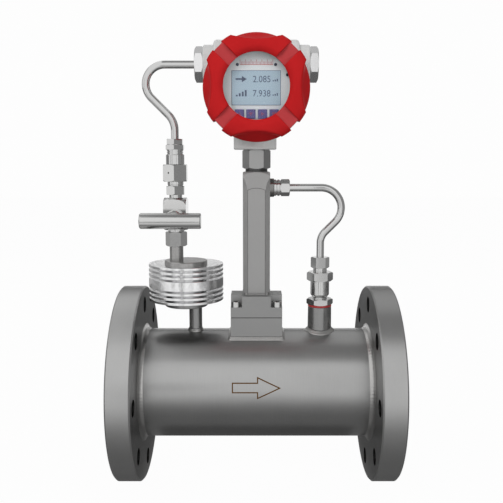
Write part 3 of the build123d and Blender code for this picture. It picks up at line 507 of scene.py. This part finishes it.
def inner_bead(start, sense):
    sections = []
    for i in range(INNER_STEPS):
        crest = INNER_FACE + INNER_RIPPLE * ripple(i / INNER_STEPS, INNER_RIPPLES, 1.0)
        section = [(INNER_RADII[0], INNER_BACK)]
        section += zip(INNER_RADII, (INNER_FACE, crest, crest, INNER_FACE))
        section.append((INNER_RADII[-1], INNER_BACK))
        sections.append(about_pipe(section, 2 * math.pi * i / INNER_STEPS, start, sense))
    return closed_skin(sections)


bead_points = []
bead_faces = []
for start, sense in ((0.0, 1), (METER_LENGTH, -1)):
    for points, faces in (flange_bead(start, sense), inner_bead(start, sense)):
        first = len(bead_points)
        bead_points += points
        bead_faces += [tuple(first + v for v in face) for face in faces]
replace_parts(add_piece("flange_weld_beads", bead_points, bead_faces, weld_skin), "flange_welds")


ROOT_IN = 0.0001


def foot_bead(route, width, height, pitch):
    # A bead that follows the tube's surface along a closed route of (x, y, out x, out y)
    sections = []
    travelled = 0.0
    for i, (x, y, out_x, out_y) in enumerate(route):
        before = route[i - 1]
        swing = math.hypot(out_x - before[2], out_y - before[3])
        travelled += math.hypot(x - before[0], y - before[1]) + 0.5 * width * swing
        section = []
        for k in range(6):
            across = k / 5
            swell = ripple(travelled / pitch + 0.25 * math.sin(math.pi * across), 1, 0.3)
            off = width * across - ROOT_IN
            px = x + out_x * off
            py = y + out_y * off
            ground = math.sqrt(TUBE_R**2 - py**2)
            rise = height * (1 - across) ** 1.25 * swell if k < 5 else -BEAD_SUNK
            section.append((px, py, ground + max(rise, -BEAD_SUNK)))
        px = x - out_x * ROOT_IN
        py = y - out_y * ROOT_IN
        section.append((px, py, math.sqrt(TUBE_R**2 - py**2) - BEAD_SUNK))
        sections.append(section)
    return closed_skin(sections)


def round_route(centre_x, radius, steps):
    route = []
    for i in range(steps):
        angle = 2 * math.pi * i / steps
        c, s = math.cos(angle), math.sin(angle)
        route.append((centre_x + radius * c, radius * s, c, s))
    return route


def block_route(centre_x, half_x, half_y, step):
    # Round a square foot, with the bead swung round each corner in small steps
    route = []
    corners = ((1, -1), (1, 1), (-1, 1), (-1, -1))
    for i, (sx, sy) in enumerate(corners):
        tx, ty = corners[(i + 1) % 4]
        x0, y0 = centre_x + sx * half_x, sy * half_y
        x1, y1 = centre_x + tx * half_x, ty * half_y
        normal = math.atan2((sy + ty) / 2, (sx + tx) / 2)
        c, s = math.cos(normal), math.sin(normal)
        count = max(2, int(math.hypot(x1 - x0, y1 - y0) / step))
        for k in range(count + 1):
            share = k / count
            route.append((x0 + (x1 - x0) * share, y0 + (y1 - y0) * share, c, s))
        for k in range(1, 8):
            turned = normal + math.pi / 2 * k / 8
            route.append((x1, y1, math.cos(turned), math.sin(turned)))
    return route


# Width, height and ripple of the bead round each foot, then the feet
BLOCK_BEAD = (0.0032, 0.0024, 0.0019)
TAP_BEAD = (0.0025, 0.0033, 0.0014)
BOSS_BEAD = (0.0043, 0.0034, 0.0018)
BLOCK_HALF = (0.0285, 0.0235)
TAP_X, TAP_R = MID_X - 0.0692, 0.00727
BOSS_X, BOSS_R = MID_X + 0.0718, 0.01337
points, faces = foot_bead(block_route(MID_X, *BLOCK_HALF, 0.0005), *BLOCK_BEAD)
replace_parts(add_piece("block_weld_bead", points, faces, weld_skin), "sensor_block_weld")
points, faces = foot_bead(round_route(TAP_X, TAP_R, 144), *TAP_BEAD)
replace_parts(add_piece("tap_weld_bead", points, faces, weld_skin), "tap_weld")
points, faces = foot_bead(round_route(BOSS_X, BOSS_R, 216), *BOSS_BEAD)
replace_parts(add_piece("boss_weld_bead", points, faces, weld_skin), "temperature_boss_weld")

# Flow arrow: a thin outline in copper-coloured enamel, fired on the front of the tube. Its
# points run along the pipe and up from its axis, and the line is bent to the tube's skin.
arrow_enamel = bare_metal(
    "arrow_enamel", (0.105, 0.047, 0.006), 0.5, (9.0, 9.0, 9.0), 0.1, 0.2, 0.1, 0.1
)
arrow_shader = arrow_enamel.node_tree.nodes["Principled BSDF"]
arrow_shader.inputs["Specular IOR Level"].default_value = 0.12
SHAFT_START, SHAFT_END = -0.0257, 0.0012
SHAFT_LOW, SHAFT_TOP = 0.0067, 0.0166
HEAD_LOW, HEAD_TOP = 0.0005, 0.0221
HEAD_TIP = (0.0248, 0.0115)
ENAMEL_LINE = 0.0012
ENAMEL_THICK = 0.00015
ENAMEL_SUNK = 0.0001
LINE_STEPS = 12
SHARPEST = 0.35
outline = [
    (SHAFT_START, SHAFT_LOW),
    (SHAFT_END, SHAFT_LOW),
    (SHAFT_END, HEAD_LOW),
    HEAD_TIP,
    (SHAFT_END, HEAD_TOP),
    (SHAFT_END, SHAFT_TOP),
    (SHAFT_START, SHAFT_TOP),
]


def mitred(corners, offset):
    # The closed outline moved inwards by offset, corner by corner
    moved = []
    for i, corner in enumerate(corners):
        a = Vector(corner) - Vector(corners[i - 1])
        b = Vector(corners[(i + 1) % len(corners)]) - Vector(corner)
        first = Vector((-a.y, a.x)).normalized()
        second = Vector((-b.y, b.x)).normalized()
        middle = (first + second).normalized()
        reach = offset / max(SHARPEST, middle.dot(first))
        moved.append(Vector(corner) + middle * reach)
    return moved


outer_line = mitred(outline, -ENAMEL_LINE / 2)
inner_line = mitred(outline, ENAMEL_LINE / 2)
arrow_points = []
arrow_faces = []
for i in range(len(outline)):
    j = (i + 1) % len(outline)
    first = len(arrow_points)
    for k in range(LINE_STEPS + 1):
        for side in (outer_line, inner_line):
            spot = side[i].lerp(side[j], k / LINE_STEPS)
            for radius in (TUBE_R - ENAMEL_SUNK, TUBE_R + ENAMEL_THICK):
                angle = math.asin(spot.y / radius)
                arrow_points.append((MID_X + spot.x, -radius * math.cos(angle), spot.y))
    for k in range(LINE_STEPS):
        a = first + 4 * k
        b = a + 4
        for p, q in ((0, 1), (1, 3), (3, 2), (2, 0)):
            arrow_faces.append((a + p, a + q, b + q, b + p))
    arrow_faces.append((first, first + 1, first + 3, first + 2))
    last = first + 4 * LINE_STEPS
    arrow_faces.append((last, last + 2, last + 3, last + 1))
arrow = add_piece("flow_arrow", arrow_points, arrow_faces, arrow_enamel, smooth=False)

# Saddle block and clamp block: milled from steel, the saddle welded on the tube and the clamp
# block screwed down on it. Both have a plain satin finish with fine upright cutter lines.
block_skin = bare_metal(
    "block_skin", (0.33, 0.33, 0.328), 0.45, (3.0, 3.0, 30.0), 0.10, 0.12, 0.05, 0.75
)
dress(block_skin, "sensor_block", "clamp_block")


# Joint sheet: thin black rubber-bonded gasket, cut to the blocks' outline and squeezed between
# them by the four screws.
def painted(name, colour, roughness, grain, bump, scale=900.0, mottle=0.05):
    # Paint, print, plastic or rubber: one colour with a fine grain and a faint mottle
    material, tree, shader, relief = surface(name, bump, 0.0006)
    spot = tree.nodes.new("ShaderNodeTexCoord").outputs["Object"]
    speck = cloudy(tree, spot, scale, 3)
    cloud = cloudy(tree, spot, 22, 4)
    tone = reckon(tree, "MULTIPLY_ADD", speck, grain, 1 - grain / 2 - mottle / 2)
    tone = reckon(tree, "MULTIPLY_ADD", cloud, mottle, tone)
    rough = reckon(tree, "MULTIPLY_ADD", cloud, 0.12, roughness - 0.06)
    tree.links.new(tinted(tree, colour, tone), shader["Base Color"])
    tree.links.new(rough, shader["Roughness"])
    tree.links.new(speck, relief["Height"])
    return material


seal_rubber = painted("seal_rubber", (0.02, 0.02, 0.02), 0.6, 0.2, 0.1)
dress(seal_rubber, "sensor_gasket")

# Boss for the temperature probe, tapping tube and the cooler's chamber: turned from stainless
# steel bar and welded on, one on the other, so they share a darker turned skin.
boss_skin = bare_metal(
    "boss_skin", (0.30, 0.30, 0.298), 0.24, (3.0, 3.0, 30.0), 0.12, 0.2, 0.05, 0.8
)
dress(boss_skin, "temperature_boss", "tap_tube", "cooler_chamber")

# Socket screws and probes: four stainless cap screws hold the clamp block, which holds down the
# vortex probe. The temperature probe hangs from its fitting. All are bright drawn steel.
bright_skin = bare_metal(
    "bright_skin", (0.62, 0.62, 0.615), 0.14, (4.0, 4.0, 4.0), 0.06, 0.12, 0.01
)
dress(bright_skin, "clamp_screws", "sensor_probe", "temperature_probe")

# Square stem: a milled bar with chamfered edges, shallow milled pockets and a turned top. The
# skin has the fine lines of the cutter, and a painted shade line along each pocket's edge.
POCKET_HALF = 0.0097
ARCH_Z = 0.2017
ARCH_R = 0.021
SHADE_LINE_HALF = 0.00038
stem_shade, given, result, spot = skin_group("stem_shade", {"Pocket Shade Tone": 0.55}, "Tone")
x, _, z = coordinates(stem_shade, spot)
aside = reckon(stem_shade, "ABSOLUTE", reckon(stem_shade, "SUBTRACT", x, MID_X))
above = reckon(stem_shade, "MAXIMUM", reckon(stem_shade, "SUBTRACT", z, ARCH_Z), 0)
past_arch = reckon(stem_shade, "SUBTRACT", distance(stem_shade, aside, above), ARCH_R)
past_side = reckon(stem_shade, "SUBTRACT", aside, POCKET_HALF)
from_edge = reckon(stem_shade, "ABSOLUTE", reckon(stem_shade, "MAXIMUM", past_arch, past_side))
clear = reckon(stem_shade, "GREATER_THAN", from_edge, SHADE_LINE_HALF)
tone = reckon(stem_shade, "MAXIMUM", clear, given["Pocket Shade Tone"])
stem_shade.links.new(tone, result["Tone"])
stem_skin = bare_metal(
    "stem_skin", (0.36, 0.358, 0.355), 0.5, (30.0, 30.0, 2.0), 0.10, 0.10, 0.05, 0.35, stem_shade
)
dress(stem_skin, "stem_column")

# Neck nut: the turned hexagon that joins stem and head, screwed into both. The spigot under it
# lies in the groove above the stem, and carries a painted shade there.
HEX_LOW = 0.2437
spigot_shade, given, result, spot = skin_group("spigot_shade", {"Groove Shade Tone": 0.22}, "Tone")
_, _, z = coordinates(spigot_shade, spot)
on_hex = reckon(spigot_shade, "GREATER_THAN", z, HEX_LOW - 0.0002)
tone = reckon(spigot_shade, "MAXIMUM", on_hex, given["Groove Shade Tone"])
spigot_shade.links.new(tone, result["Tone"])
neck_skin = bare_metal(
    "neck_skin", (0.36, 0.36, 0.357), 0.32, (30.0, 30.0, 2.0), 0.10, 0.12, 0.05, 1.0, spigot_shade
)
dress(neck_skin, "neck_nut")

# Head housing: a die-cast aluminium drum with a boss on each side and a foot, machined where
# things screw in, and finished in a light grey textured powder coat.
housing_coat = painted("housing_coat", (0.70, 0.705, 0.70), 0.5, 0.25, 0.6)
dress(housing_coat, "head_housing")

# Electronics board and terminal block: lacquered green laminate on pillars inside the head, and
# moulded black plastic screwed down behind it.
board_lacquer = painted("board_lacquer", (0.03, 0.20, 0.09), 0.35, 0.1, 0.05)
dress(board_lacquer, "electronics_board")
dress(seal_rubber, "terminal_block")

# Rear cover: die-cast aluminium in red enamel, screwed on behind. The sunk strips on the
# diagonals are left as cast, so the enamel there is duller, paler and grainy.
HEAD_Z = 0.328
grip_mask, given, result, spot = skin_group(
    "grip_mask", {"Half Width": 0.006, "Inner Radius": 0.0}, "Mask"
)
x, _, z = coordinates(grip_mask, spot)
aside = reckon(grip_mask, "ABSOLUTE", reckon(grip_mask, "SUBTRACT", x, MID_X))
above = reckon(grip_mask, "ABSOLUTE", reckon(grip_mask, "SUBTRACT", z, HEAD_Z))
apart = reckon(grip_mask, "ABSOLUTE", reckon(grip_mask, "SUBTRACT", aside, above))
off_diagonal = reckon(grip_mask, "MULTIPLY", apart, math.sqrt(0.5))
inside = reckon(grip_mask, "LESS_THAN", off_diagonal, given["Half Width"])
from_axis = distance(grip_mask, aside, above)
outside = reckon(grip_mask, "GREATER_THAN", from_axis, given["Inner Radius"])
mask = reckon(grip_mask, "MULTIPLY", inside, outside)
grip_mask.links.new(mask, result["Mask"])


def between(tree, share, low, high):
    # A value that goes from low to high as a share goes from nought to one
    spread = tree.nodes.new("ShaderNodeMapRange")
    spread.inputs["To Min"].default_value = low
    spread.inputs["To Max"].default_value = high
    tree.links.new(share, spread.inputs["Value"])
    return spread.outputs["Result"]


def colour_mix(tree, share, second):
    # A mix of two colours, whose sockets 6 and 7 are the colours and 2 is what comes out
    blend = tree.nodes.new("ShaderNodeMix")
    blend.data_type = "RGBA"
    blend.inputs[7].default_value = second
    tree.links.new(share, blend.inputs[0])
    return blend.inputs[6], blend.outputs[2]


def cover_enamel(name, strips_from, strip_half):
    # Deep red enamel, paler, rougher and grainy in the sunk strips
    enamel, tree, shader, relief = surface(name, 0.6, 0.0005)
    shader["IOR"].default_value = 1.035
    strips = tree.nodes.new("ShaderNodeGroup")
    strips.node_tree = grip_mask
    strips.inputs["Half Width"].default_value = strip_half
    strips.inputs["Inner Radius"].default_value = strips_from
    mask = strips.outputs["Mask"]
    spot = tree.nodes.new("ShaderNodeTexCoord").outputs["Object"]
    cloud = cloudy(tree, spot, 30, 4)
    grain = cloudy(tree, spot, 900, 3)
    first, deep = colour_mix(tree, cloud, (0.58, 0.021, 0.023, 1))
    first.default_value = (0.49, 0.015, 0.017, 1)
    first, red = colour_mix(tree, mask, (0.51, 0.060, 0.065, 1))
    tree.links.new(deep, first)
    tree.links.new(red, shader["Base Color"])
    tree.links.new(between(tree, mask, 0.30, 0.55), shader["Roughness"])
    height = reckon(tree, "MULTIPLY", between(tree, mask, 0.04, 0.5), grain)
    tree.links.new(height, relief["Height"])
    return enamel


dress(cover_enamel("rear_enamel", 0.0475, 0.0066), "rear_cover")

# Front cover: the enamelled ring round the window, turned inside for the thread and the glass.
# Each of its four lobes has a finger scoop, cast back to the round skirt between two ears.
# Radii are from the head's axis and depths from its middle towards the reader, in millimetres.
COVER_LIP_R = 34.0
LOBE_R = 57.3
SKIRT_R = 56.0
THREAD_R = 48.3
COVER_BACK = 32.0
SKIRT_FRONT = 38.0
WINDOW_SEAT = 56.0
COVER_CROWN = 62.0
LIP_ROUND = ((0, 58.6), (0.9, 59.6), (2.8, 61.0), (4.5, 61.75))
DOME_R = 40.0
SHOULDER = 51.0
DOME_POWER = 2.1
CREST_R = 45.0
CREST_BEND = 60.0
CREST_ROUND = 2.0
EAR_SHOULDER = 53.6
SCOOP_FOOT = (55.4, 40.0)
SCOOP_HOLLOW = 0.7
EAR_FOOT = (56.4, 40.0)
EAR_BULGE = 0.45
STRIP_HALF = 6.0
STRIP_FACE = 57.5
STRIP_END = 54.6
EDGE_BREAK = 0.5
FRONT_STEPS = 12
BEND_STEPS = 6
WALL_STEPS = 8
EAR_FROM = 26.7
EDGE_SWING = 45.0 - math.degrees(math.asin(STRIP_HALF / LOBE_R))
INSIDE = [
    (THREAD_R, COVER_BACK),
    (THREAD_R, 49.0),
    (41.5, 49.0),
    (41.5, 46.5),
    (38.3, 46.5),
    (38.3, WINDOW_SEAT),
    (COVER_LIP_R, WINDOW_SEAT),
]


def lobe_front(radius):
    # Depth of a lobe's domed front at a radius
    share = max(0.0, (radius - DOME_R) / (LOBE_R - DOME_R))
    return SHOULDER + (COVER_CROWN - SHOULDER) * (1 - share**DOME_POWER) ** (1 / DOME_POWER)


def crest_radius(swing):
    # Radius of the scoop's curved front edge at an angle from the lobe's middle
    c, s = math.cos(swing), math.sin(swing)
    return 2 * CREST_R / (c + math.sqrt(max(0.0, c * c - 2 * s * s * CREST_R / CREST_BEND)))


def rounded(before, corner, after):
    # A soft bend from before to after, pulled towards the corner between them
    points = []
    for k in range(BEND_STEPS + 1):
        w = k / BEND_STEPS
        near, mid, far = (1 - w) ** 2, 2 * w * (1 - w), w * w
        points.append(tuple(near * a + mid * b + far * c for a, b, c in zip(before, corner, after)))
    return points


def down_to(start, foot, hollow):
    # The wall from an edge down to the skirt, hollowed or bulged a little
    points = []
    for k in range(1, WALL_STEPS + 1):
        share = k / WALL_STEPS
        radius = start[0] + (foot[0] - start[0]) * share - hollow * math.sin(math.pi * share)
        points.append((radius, start[1] + (foot[1] - start[1]) * share))
    return points


def skirt(radius):
    # The plain skirt under a wall, with its back edge broken
    back_edge = [(radius, COVER_BACK + EDGE_BREAK), (radius - EDGE_BREAK, COVER_BACK)]
    return [(radius, SKIRT_FRONT)] + back_edge


def lobe_section(swing, drop):
    # A section through a lobe at an angle, lowered by drop where it falls to the strip
    if abs(swing) < EAR_FROM:
        radius = crest_radius(math.radians(swing))
        corner, foot, hollow = (radius, lobe_front(radius)), SCOOP_FOOT, SCOOP_HOLLOW
    else:
        corner, foot, hollow = (LOBE_R, EAR_SHOULDER), EAR_FOOT, -EAR_BULGE
    section = [(COVER_LIP_R + out_by, depth) for out_by, depth in LIP_ROUND]
    before = (corner[0] - CREST_ROUND, lobe_front(corner[0] - CREST_ROUND))
    for k in range(FRONT_STEPS):
        radius = DOME_R + (before[0] - DOME_R) * k / FRONT_STEPS
        section.append((radius, lobe_front(radius)))
    share = CREST_ROUND / math.hypot(corner[0] - foot[0], corner[1] - foot[1])
    after = tuple(c + (f - c) * share for c, f in zip(corner, foot))
    section += rounded(before, corner, after)
    section += down_to(after, foot, hollow)
    lowered = [(radius, depth - drop if depth > foot[1] else depth) for radius, depth in section]
    return lowered + skirt(SKIRT_R)


def strip_section():
    section = [(COVER_LIP_R, STRIP_FACE - EDGE_BREAK)]
    section += [(COVER_LIP_R + out_by, STRIP_FACE) for out_by, _ in LIP_ROUND[1:]]
    edge = STRIP_END - CREST_ROUND / 2
    for k in range(FRONT_STEPS):
        section.append((DOME_R + (edge - DOME_R) * k / FRONT_STEPS, STRIP_FACE))
    after = (STRIP_END, STRIP_FACE - CREST_ROUND / 2)
    section += rounded((edge, STRIP_FACE), (STRIP_END, STRIP_FACE), after)
    section += down_to(after, (STRIP_END, SCOOP_FOOT[1]), 0.0)
    return section + skirt(STRIP_END)


def on_lobe(radius, quarter, swing):
    # A lobe fills the angle between two strips, whatever the radius
    edge = math.pi / 4 - math.asin(STRIP_HALF / radius)
    return radius, quarter * math.pi / 2 + edge * swing / EDGE_SWING


def on_strip(radius, quarter, offset):
    # A strip keeps its width outwards, and stays round at the lip and in the thread
    straight = radius > DOME_R and radius != THREAD_R
    along = radius if straight else math.sqrt(radius**2 - offset**2)
    angle = (quarter + 0.5) * math.pi / 2 + math.atan2(offset, along)
    return math.hypot(along, offset), angle


def cover_ring(section, turn_at, quarter, place):
    # One closed row of points through the cover, outside and then inside
    ring_points = []
    for radius, depth in section + INSIDE:
        radius, angle = turn_at(radius, quarter, place)
        x = MID_X + radius * math.cos(angle) / 1000
        z = HEAD_Z + radius * math.sin(angle) / 1000
        ring_points.append((x, -depth / 1000, z))
    return ring_points


# Half a lobe's sections, each an angle in degrees and how far it drops beside the strip
HALF_SWINGS = [(swing, 0) for swing in (0, 3, 6, 9, 12, 15, 18, 20, 22, 23.5, 25, 26.2)]
HALF_SWINGS += [(swing, 0) for swing in (27.2, 28.5, 30.5, 33, 35.5, 37.4)]
HALF_SWINGS += [(38.3, 0.12), (38.7, 0.4), (38.95, 1.0)]
STRIP_OFFSETS = (-STRIP_HALF, -STRIP_HALF / 2, 0, STRIP_HALF / 2, STRIP_HALF)
SWINGS = [(-swing, drop) for swing, drop in reversed(HALF_SWINGS[1:])] + HALF_SWINGS
cover_rings = []
for quarter in range(4):
    for swing, drop in SWINGS:
        cover_rings.append(cover_ring(lobe_section(swing, drop), on_lobe, quarter, swing))
    for offset in STRIP_OFFSETS:
        cover_rings.append(cover_ring(strip_section(), on_strip, quarter, offset))
points, faces = closed_skin(cover_rings)
front_enamel = cover_enamel("front_enamel", 0.0, 0.00602)
front_ring = add_piece("front_cover_ring", points, faces, front_enamel, "front_cover")
front_ring.data.set_sharp_from_angle(angle=math.radians(32))
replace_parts(front_ring, "front_cover")

# Window glass: a round toughened pane, ground flat. It sits in the front cover's recess and is
# held there by a ring.
window_pane, tree = node_material("window_pane")
out = tree.nodes.new("ShaderNodeOutputMaterial")
pane = tree.nodes.new("ShaderNodeBsdfPrincipled")
pane.inputs["Base Color"].default_value = (0.97, 0.98, 0.98, 1)
pane.inputs["Transmission Weight"].default_value = 1.0
pane.inputs["Roughness"].default_value = 0.02
pane.inputs["IOR"].default_value = 1.1
link(tree, pane, 0, out, "Surface")
dress(window_pane, "window_glass")

# Window ring and cover seals: moulded black rubber, squeezed behind the glass and between each
# cover and the housing.
dress(seal_rubber, "window_ring", "front_cover_seal", "rear_cover_seal")

# Dial plate: a printed pale grey plastic sheet with holes for the display and the buttons. A
# plain red scale of short strokes is printed above the display.
dial_print = painted("dial_print", (0.56, 0.575, 0.59), 0.45, 0.05, 0.05)
dress(dial_print, "dial_plate")
DIAL_Y = -0.0445
PRINT_THICK = 0.00006
PRINT_SUNK = 0.00002


def flat_print(name, shapes, material, front, body="meter"):
    # Flat printed shapes on the dial, each a list of (x, z) corners from the head's axis
    points = []
    faces = []
    for corners in shapes:
        first = len(points)
        count = len(corners)
        for y in (front + PRINT_SUNK, front - PRINT_THICK):
            points += [(MID_X + x, y, HEAD_Z + z) for x, z in corners]
        faces.append(tuple(first + k for k in range(count)))
        faces.append(tuple(first + count + k for k in reversed(range(count))))
        for k in range(count):
            m = (k + 1) % count
            faces.append((first + k, first + m, first + count + m, first + count + k))
    return add_piece(name, points, faces, material, body, False)


def bar(x0, x1, z0, z1):
    return [(x0, z0), (x1, z0), (x1, z1), (x0, z1)]


scale_ink = painted("scale_ink", (0.36, 0.05, 0.05), 0.6, 0.1, 0.0)
SCALE_STROKES = 25
SCALE_HALF = 0.0168
SCALE_Z = 0.0225
STROKE_HALF = 0.00022
LONG_STROKE, SHORT_STROKE = 0.0050, 0.0030
strokes = []
for i in range(SCALE_STROKES):
    x = -SCALE_HALF + 2 * SCALE_HALF * i / (SCALE_STROKES - 1)
    tall = LONG_STROKE if i % 4 == 0 else SHORT_STROKE
    strokes.append(bar(x - STROKE_HALF, x + STROKE_HALF, SCALE_Z, SCALE_Z + tall))
strokes.append(bar(-0.0170, 0.0170, 0.0220, SCALE_Z))
dial_scale = flat_print("dial_scale", strokes, scale_ink, DIAL_Y)

# Dial screws: three small countersunk steel screws in black oxide, which hold the dial plate to
# the pillars behind it.
black_oxide = bare_metal(
    "black_oxide", (0.05, 0.055, 0.08), 0.35, (9.0, 9.0, 9.0), 0.1, 0.1, 0.05, 0.8
)
dress(black_oxide, "panel_screws")

# Display: a pale blue liquid crystal panel in a thin dark frame. It shows two plain readings,
# with a small arrow for the flow beside the first and a stack of bars beside the second.
display_panel = painted("display_panel", (0.30, 0.385, 0.455), 0.35, 0.16, 0.0, 1800.0, 0.10)
dress(display_panel, "display")
crystal_dark = painted("crystal_dark", (0.055, 0.075, 0.12), 0.5, 0.2, 0.0, 1800.0)
DISPLAY_Y = -0.0449
FRAME_EDGE = 0.0005
low_corner, high_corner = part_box("display")
left, right = low_corner.x - MID_X, high_corner.x - MID_X
low, high = low_corner.z - HEAD_Z, high_corner.z - HEAD_Z
frame_bars = [
    bar(left, right, low, low + FRAME_EDGE),
    bar(left, right, high - FRAME_EDGE, high),
    bar(left, left + FRAME_EDGE, low + FRAME_EDGE, high - FRAME_EDGE),
    bar(right - FRAME_EDGE, right, low + FRAME_EDGE, high - FRAME_EDGE),
]
display_frame = flat_print("display_frame", frame_bars, crystal_dark, DISPLAY_Y)

FLOW_ROW, TOTAL_ROW = 0.0078, -0.0066
SIGN_HALF = 0.0031
signs = [
    bar(-0.0215, -0.0145, FLOW_ROW - 0.0009, FLOW_ROW + 0.0009),
    [(-0.0150, FLOW_ROW - SIGN_HALF), (-0.0098, FLOW_ROW), (-0.0150, FLOW_ROW + SIGN_HALF)],
]
BAR_WIDTH, BAR_PITCH, BAR_RISE = 0.0019, 0.0031, 0.0016
for i in range(4):
    x = -0.0213 + BAR_PITCH * i
    foot = TOTAL_ROW - SIGN_HALF
    signs.append(bar(x, x + BAR_WIDTH, foot, foot + BAR_RISE * (i + 1)))
UNIT_WIDTH, UNIT_PITCH = 0.0013, 0.0021
for row in (FLOW_ROW, TOTAL_ROW):
    foot = row - 0.0024
    for i, tall in enumerate((0.0012, 0.0018, 0.0026)):
        x = 0.0166 + UNIT_PITCH * i
        signs.append(bar(x, x + UNIT_WIDTH, foot, foot + tall))
display_signs = flat_print("display_signs", signs, crystal_dark, DISPLAY_Y)

READING_LEFT = -0.0036
READING_WIDTH = 0.0180
READING_HEIGHT = 0.0066
for number, reading, row in ((1, "2.085", FLOW_ROW), (2, "7.938", TOTAL_ROW)):
    figures = bpy.data.curves.new("figures", "FONT")
    figures.body = reading
    figures.size = 0.0102
    figures.extrude = PRINT_THICK
    figures.resolution_u = 3
    carrier = bpy.data.objects.new("figures", figures)
    scene.collection.objects.link(carrier)
    bpy.context.view_layer.update()
    flat = bpy.data.meshes.new_from_object(carrier)
    bpy.data.objects.remove(carrier)
    xs = [v.co.x for v in flat.vertices]
    ys = [v.co.y for v in flat.vertices]
    wide, tall = max(xs) - min(xs), max(ys) - min(ys)
    flat.transform(Matrix.Translation((-min(xs), -(min(ys) + max(ys)) / 2, 0)))
    flat.transform(Matrix.Diagonal((READING_WIDTH / wide, READING_HEIGHT / tall, 1, 1)))
    flat.transform(Matrix.Rotation(math.pi / 2, 4, "X"))
    flat.transform(Matrix.Translation((MID_X + READING_LEFT, DISPLAY_Y, HEAD_Z + row)))
    flat.materials.clear()
    flat.materials.append(crystal_dark)
    numbers = bpy.data.objects.new("reading_" + str(number), flat)
    scene.collection.objects.link(numbers)
    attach(numbers, "meter")

# Buttons: four violet rubber caps that come up through holes in the dial plate, each with a
# small moulded sign in dull red: up, down, forward and stop.
button_cap = painted("button_cap", (0.075, 0.06, 0.20), 0.45, 0.15, 0.05)
dress(button_cap, "button_1", "button_2", "button_3", "button_4")
sign_ink = painted("sign_ink", (0.22, 0.05, 0.12), 0.5, 0.1, 0.0)
POINT, FLAT, STOP = 0.002, 0.0015, 0.0019
for number in (1, 2, 3, 4):
    button = "button_" + str(number)
    low_corner, high_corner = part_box(button)
    cx = (low_corner.x + high_corner.x) / 2 - MID_X
    cz = (low_corner.z + high_corner.z) / 2 - HEAD_Z
    sign = {
        1: [(cx - POINT, cz - FLAT), (cx + POINT, cz - FLAT), (cx, cz + POINT)],
        2: [(cx - POINT, cz + FLAT), (cx, cz - POINT), (cx + POINT, cz + FLAT)],
        3: [(cx - FLAT, cz - POINT), (cx + POINT, cz), (cx - FLAT, cz + POINT)],
        4: bar(cx - STOP, cx + STOP, cz - STOP, cz + STOP),
    }[number]
    name = "button_sign_" + str(number)
    button_sign = flat_print(name, [sign], sign_ink, low_corner.y, button)

# Entry gland and plug: hexagons of nickel-plated brass, screwed into the head's side bosses.
# The left one takes the conduit from the pressure sensor, and the right one closes its boss.
gland_nickel = bare_metal(
    "gland_nickel", (0.79, 0.79, 0.795), 0.22, (4.0, 4.0, 4.0), 0.08, 0.10, 0.03
)
dress(gland_nickel, "entry_gland", "entry_plug")

# Conduits: stainless tubes bent cold and polished bright, which carry the wires. A polished nut
# holds each end, and an adapter joins the left one to the pressure sensor.
polished_skin = bare_metal(
    "polished_skin", (0.62, 0.62, 0.617), 0.08, (4.0, 4.0, 4.0), 0.05, 0.10, 0.006
)
dress(polished_skin, "pressure_conduit", "pressure_conduit_nut", "conduit_adapter")
dress(polished_skin, "side_conduit_nut", "temperature_conduit", "temperature_conduit_nut")

# Side nipple: a short dark grooved nipple of oxidised steel, screwed into the side of the stem.
# The nut of the right conduit is screwed on it.
nipple_skin = bare_metal(
    "nipple_skin", (0.24, 0.235, 0.23), 0.25, (4.0, 4.0, 4.0), 0.10, 0.15, 0.02
)
dress(nipple_skin, "side_nipple")

# Pressure sensor and needle valve: turned and milled from stainless bar, and bright all over.
# The sensor is screwed on the valve's outlet, and the T-handle turns the spindle in its nut.
dress(bright_skin, "pressure_sensor_body", "sensor_collar", "valve_outlet_nut", "valve_body")
dress(bright_skin, "valve_bonnet", "valve_packing_nut", "valve_needle", "valve_spindle")
dress(bright_skin, "valve_handle", "valve_inlet_nut")

# Cooler: the fins are turned from bright aluminium, and the lid and the outlet tube that stand
# on them are plain stainless steel with a satin finish.
satin_skin = bare_metal(
    "satin_skin", (0.40, 0.395, 0.39), 0.26, (4.0, 4.0, 4.0), 0.10, 0.15, 0.03, 0.9
)
dress(satin_skin, "cooler_outlet_tube", "cooler_lid")
fin_skin = bare_metal(
    "fin_skin", (0.86, 0.86, 0.865), 0.12, (12.0, 12.0, 3.0), 0.25, 0.20, 0.25
)
dress(fin_skin, "cooler_fins")

# Temperature fitting: a turned compression fitting over a hexagon plug, both bright stainless
# steel. The plug is screwed into the boss and presses on a ring of red vulcanised fibre.
dress(bright_skin, "temperature_fitting", "thermowell_plug")
red_fibre = painted("red_fibre", (0.42, 0.04, 0.04), 0.6, 0.2, 0.1)
dress(red_fibre, "thermowell_gasket")
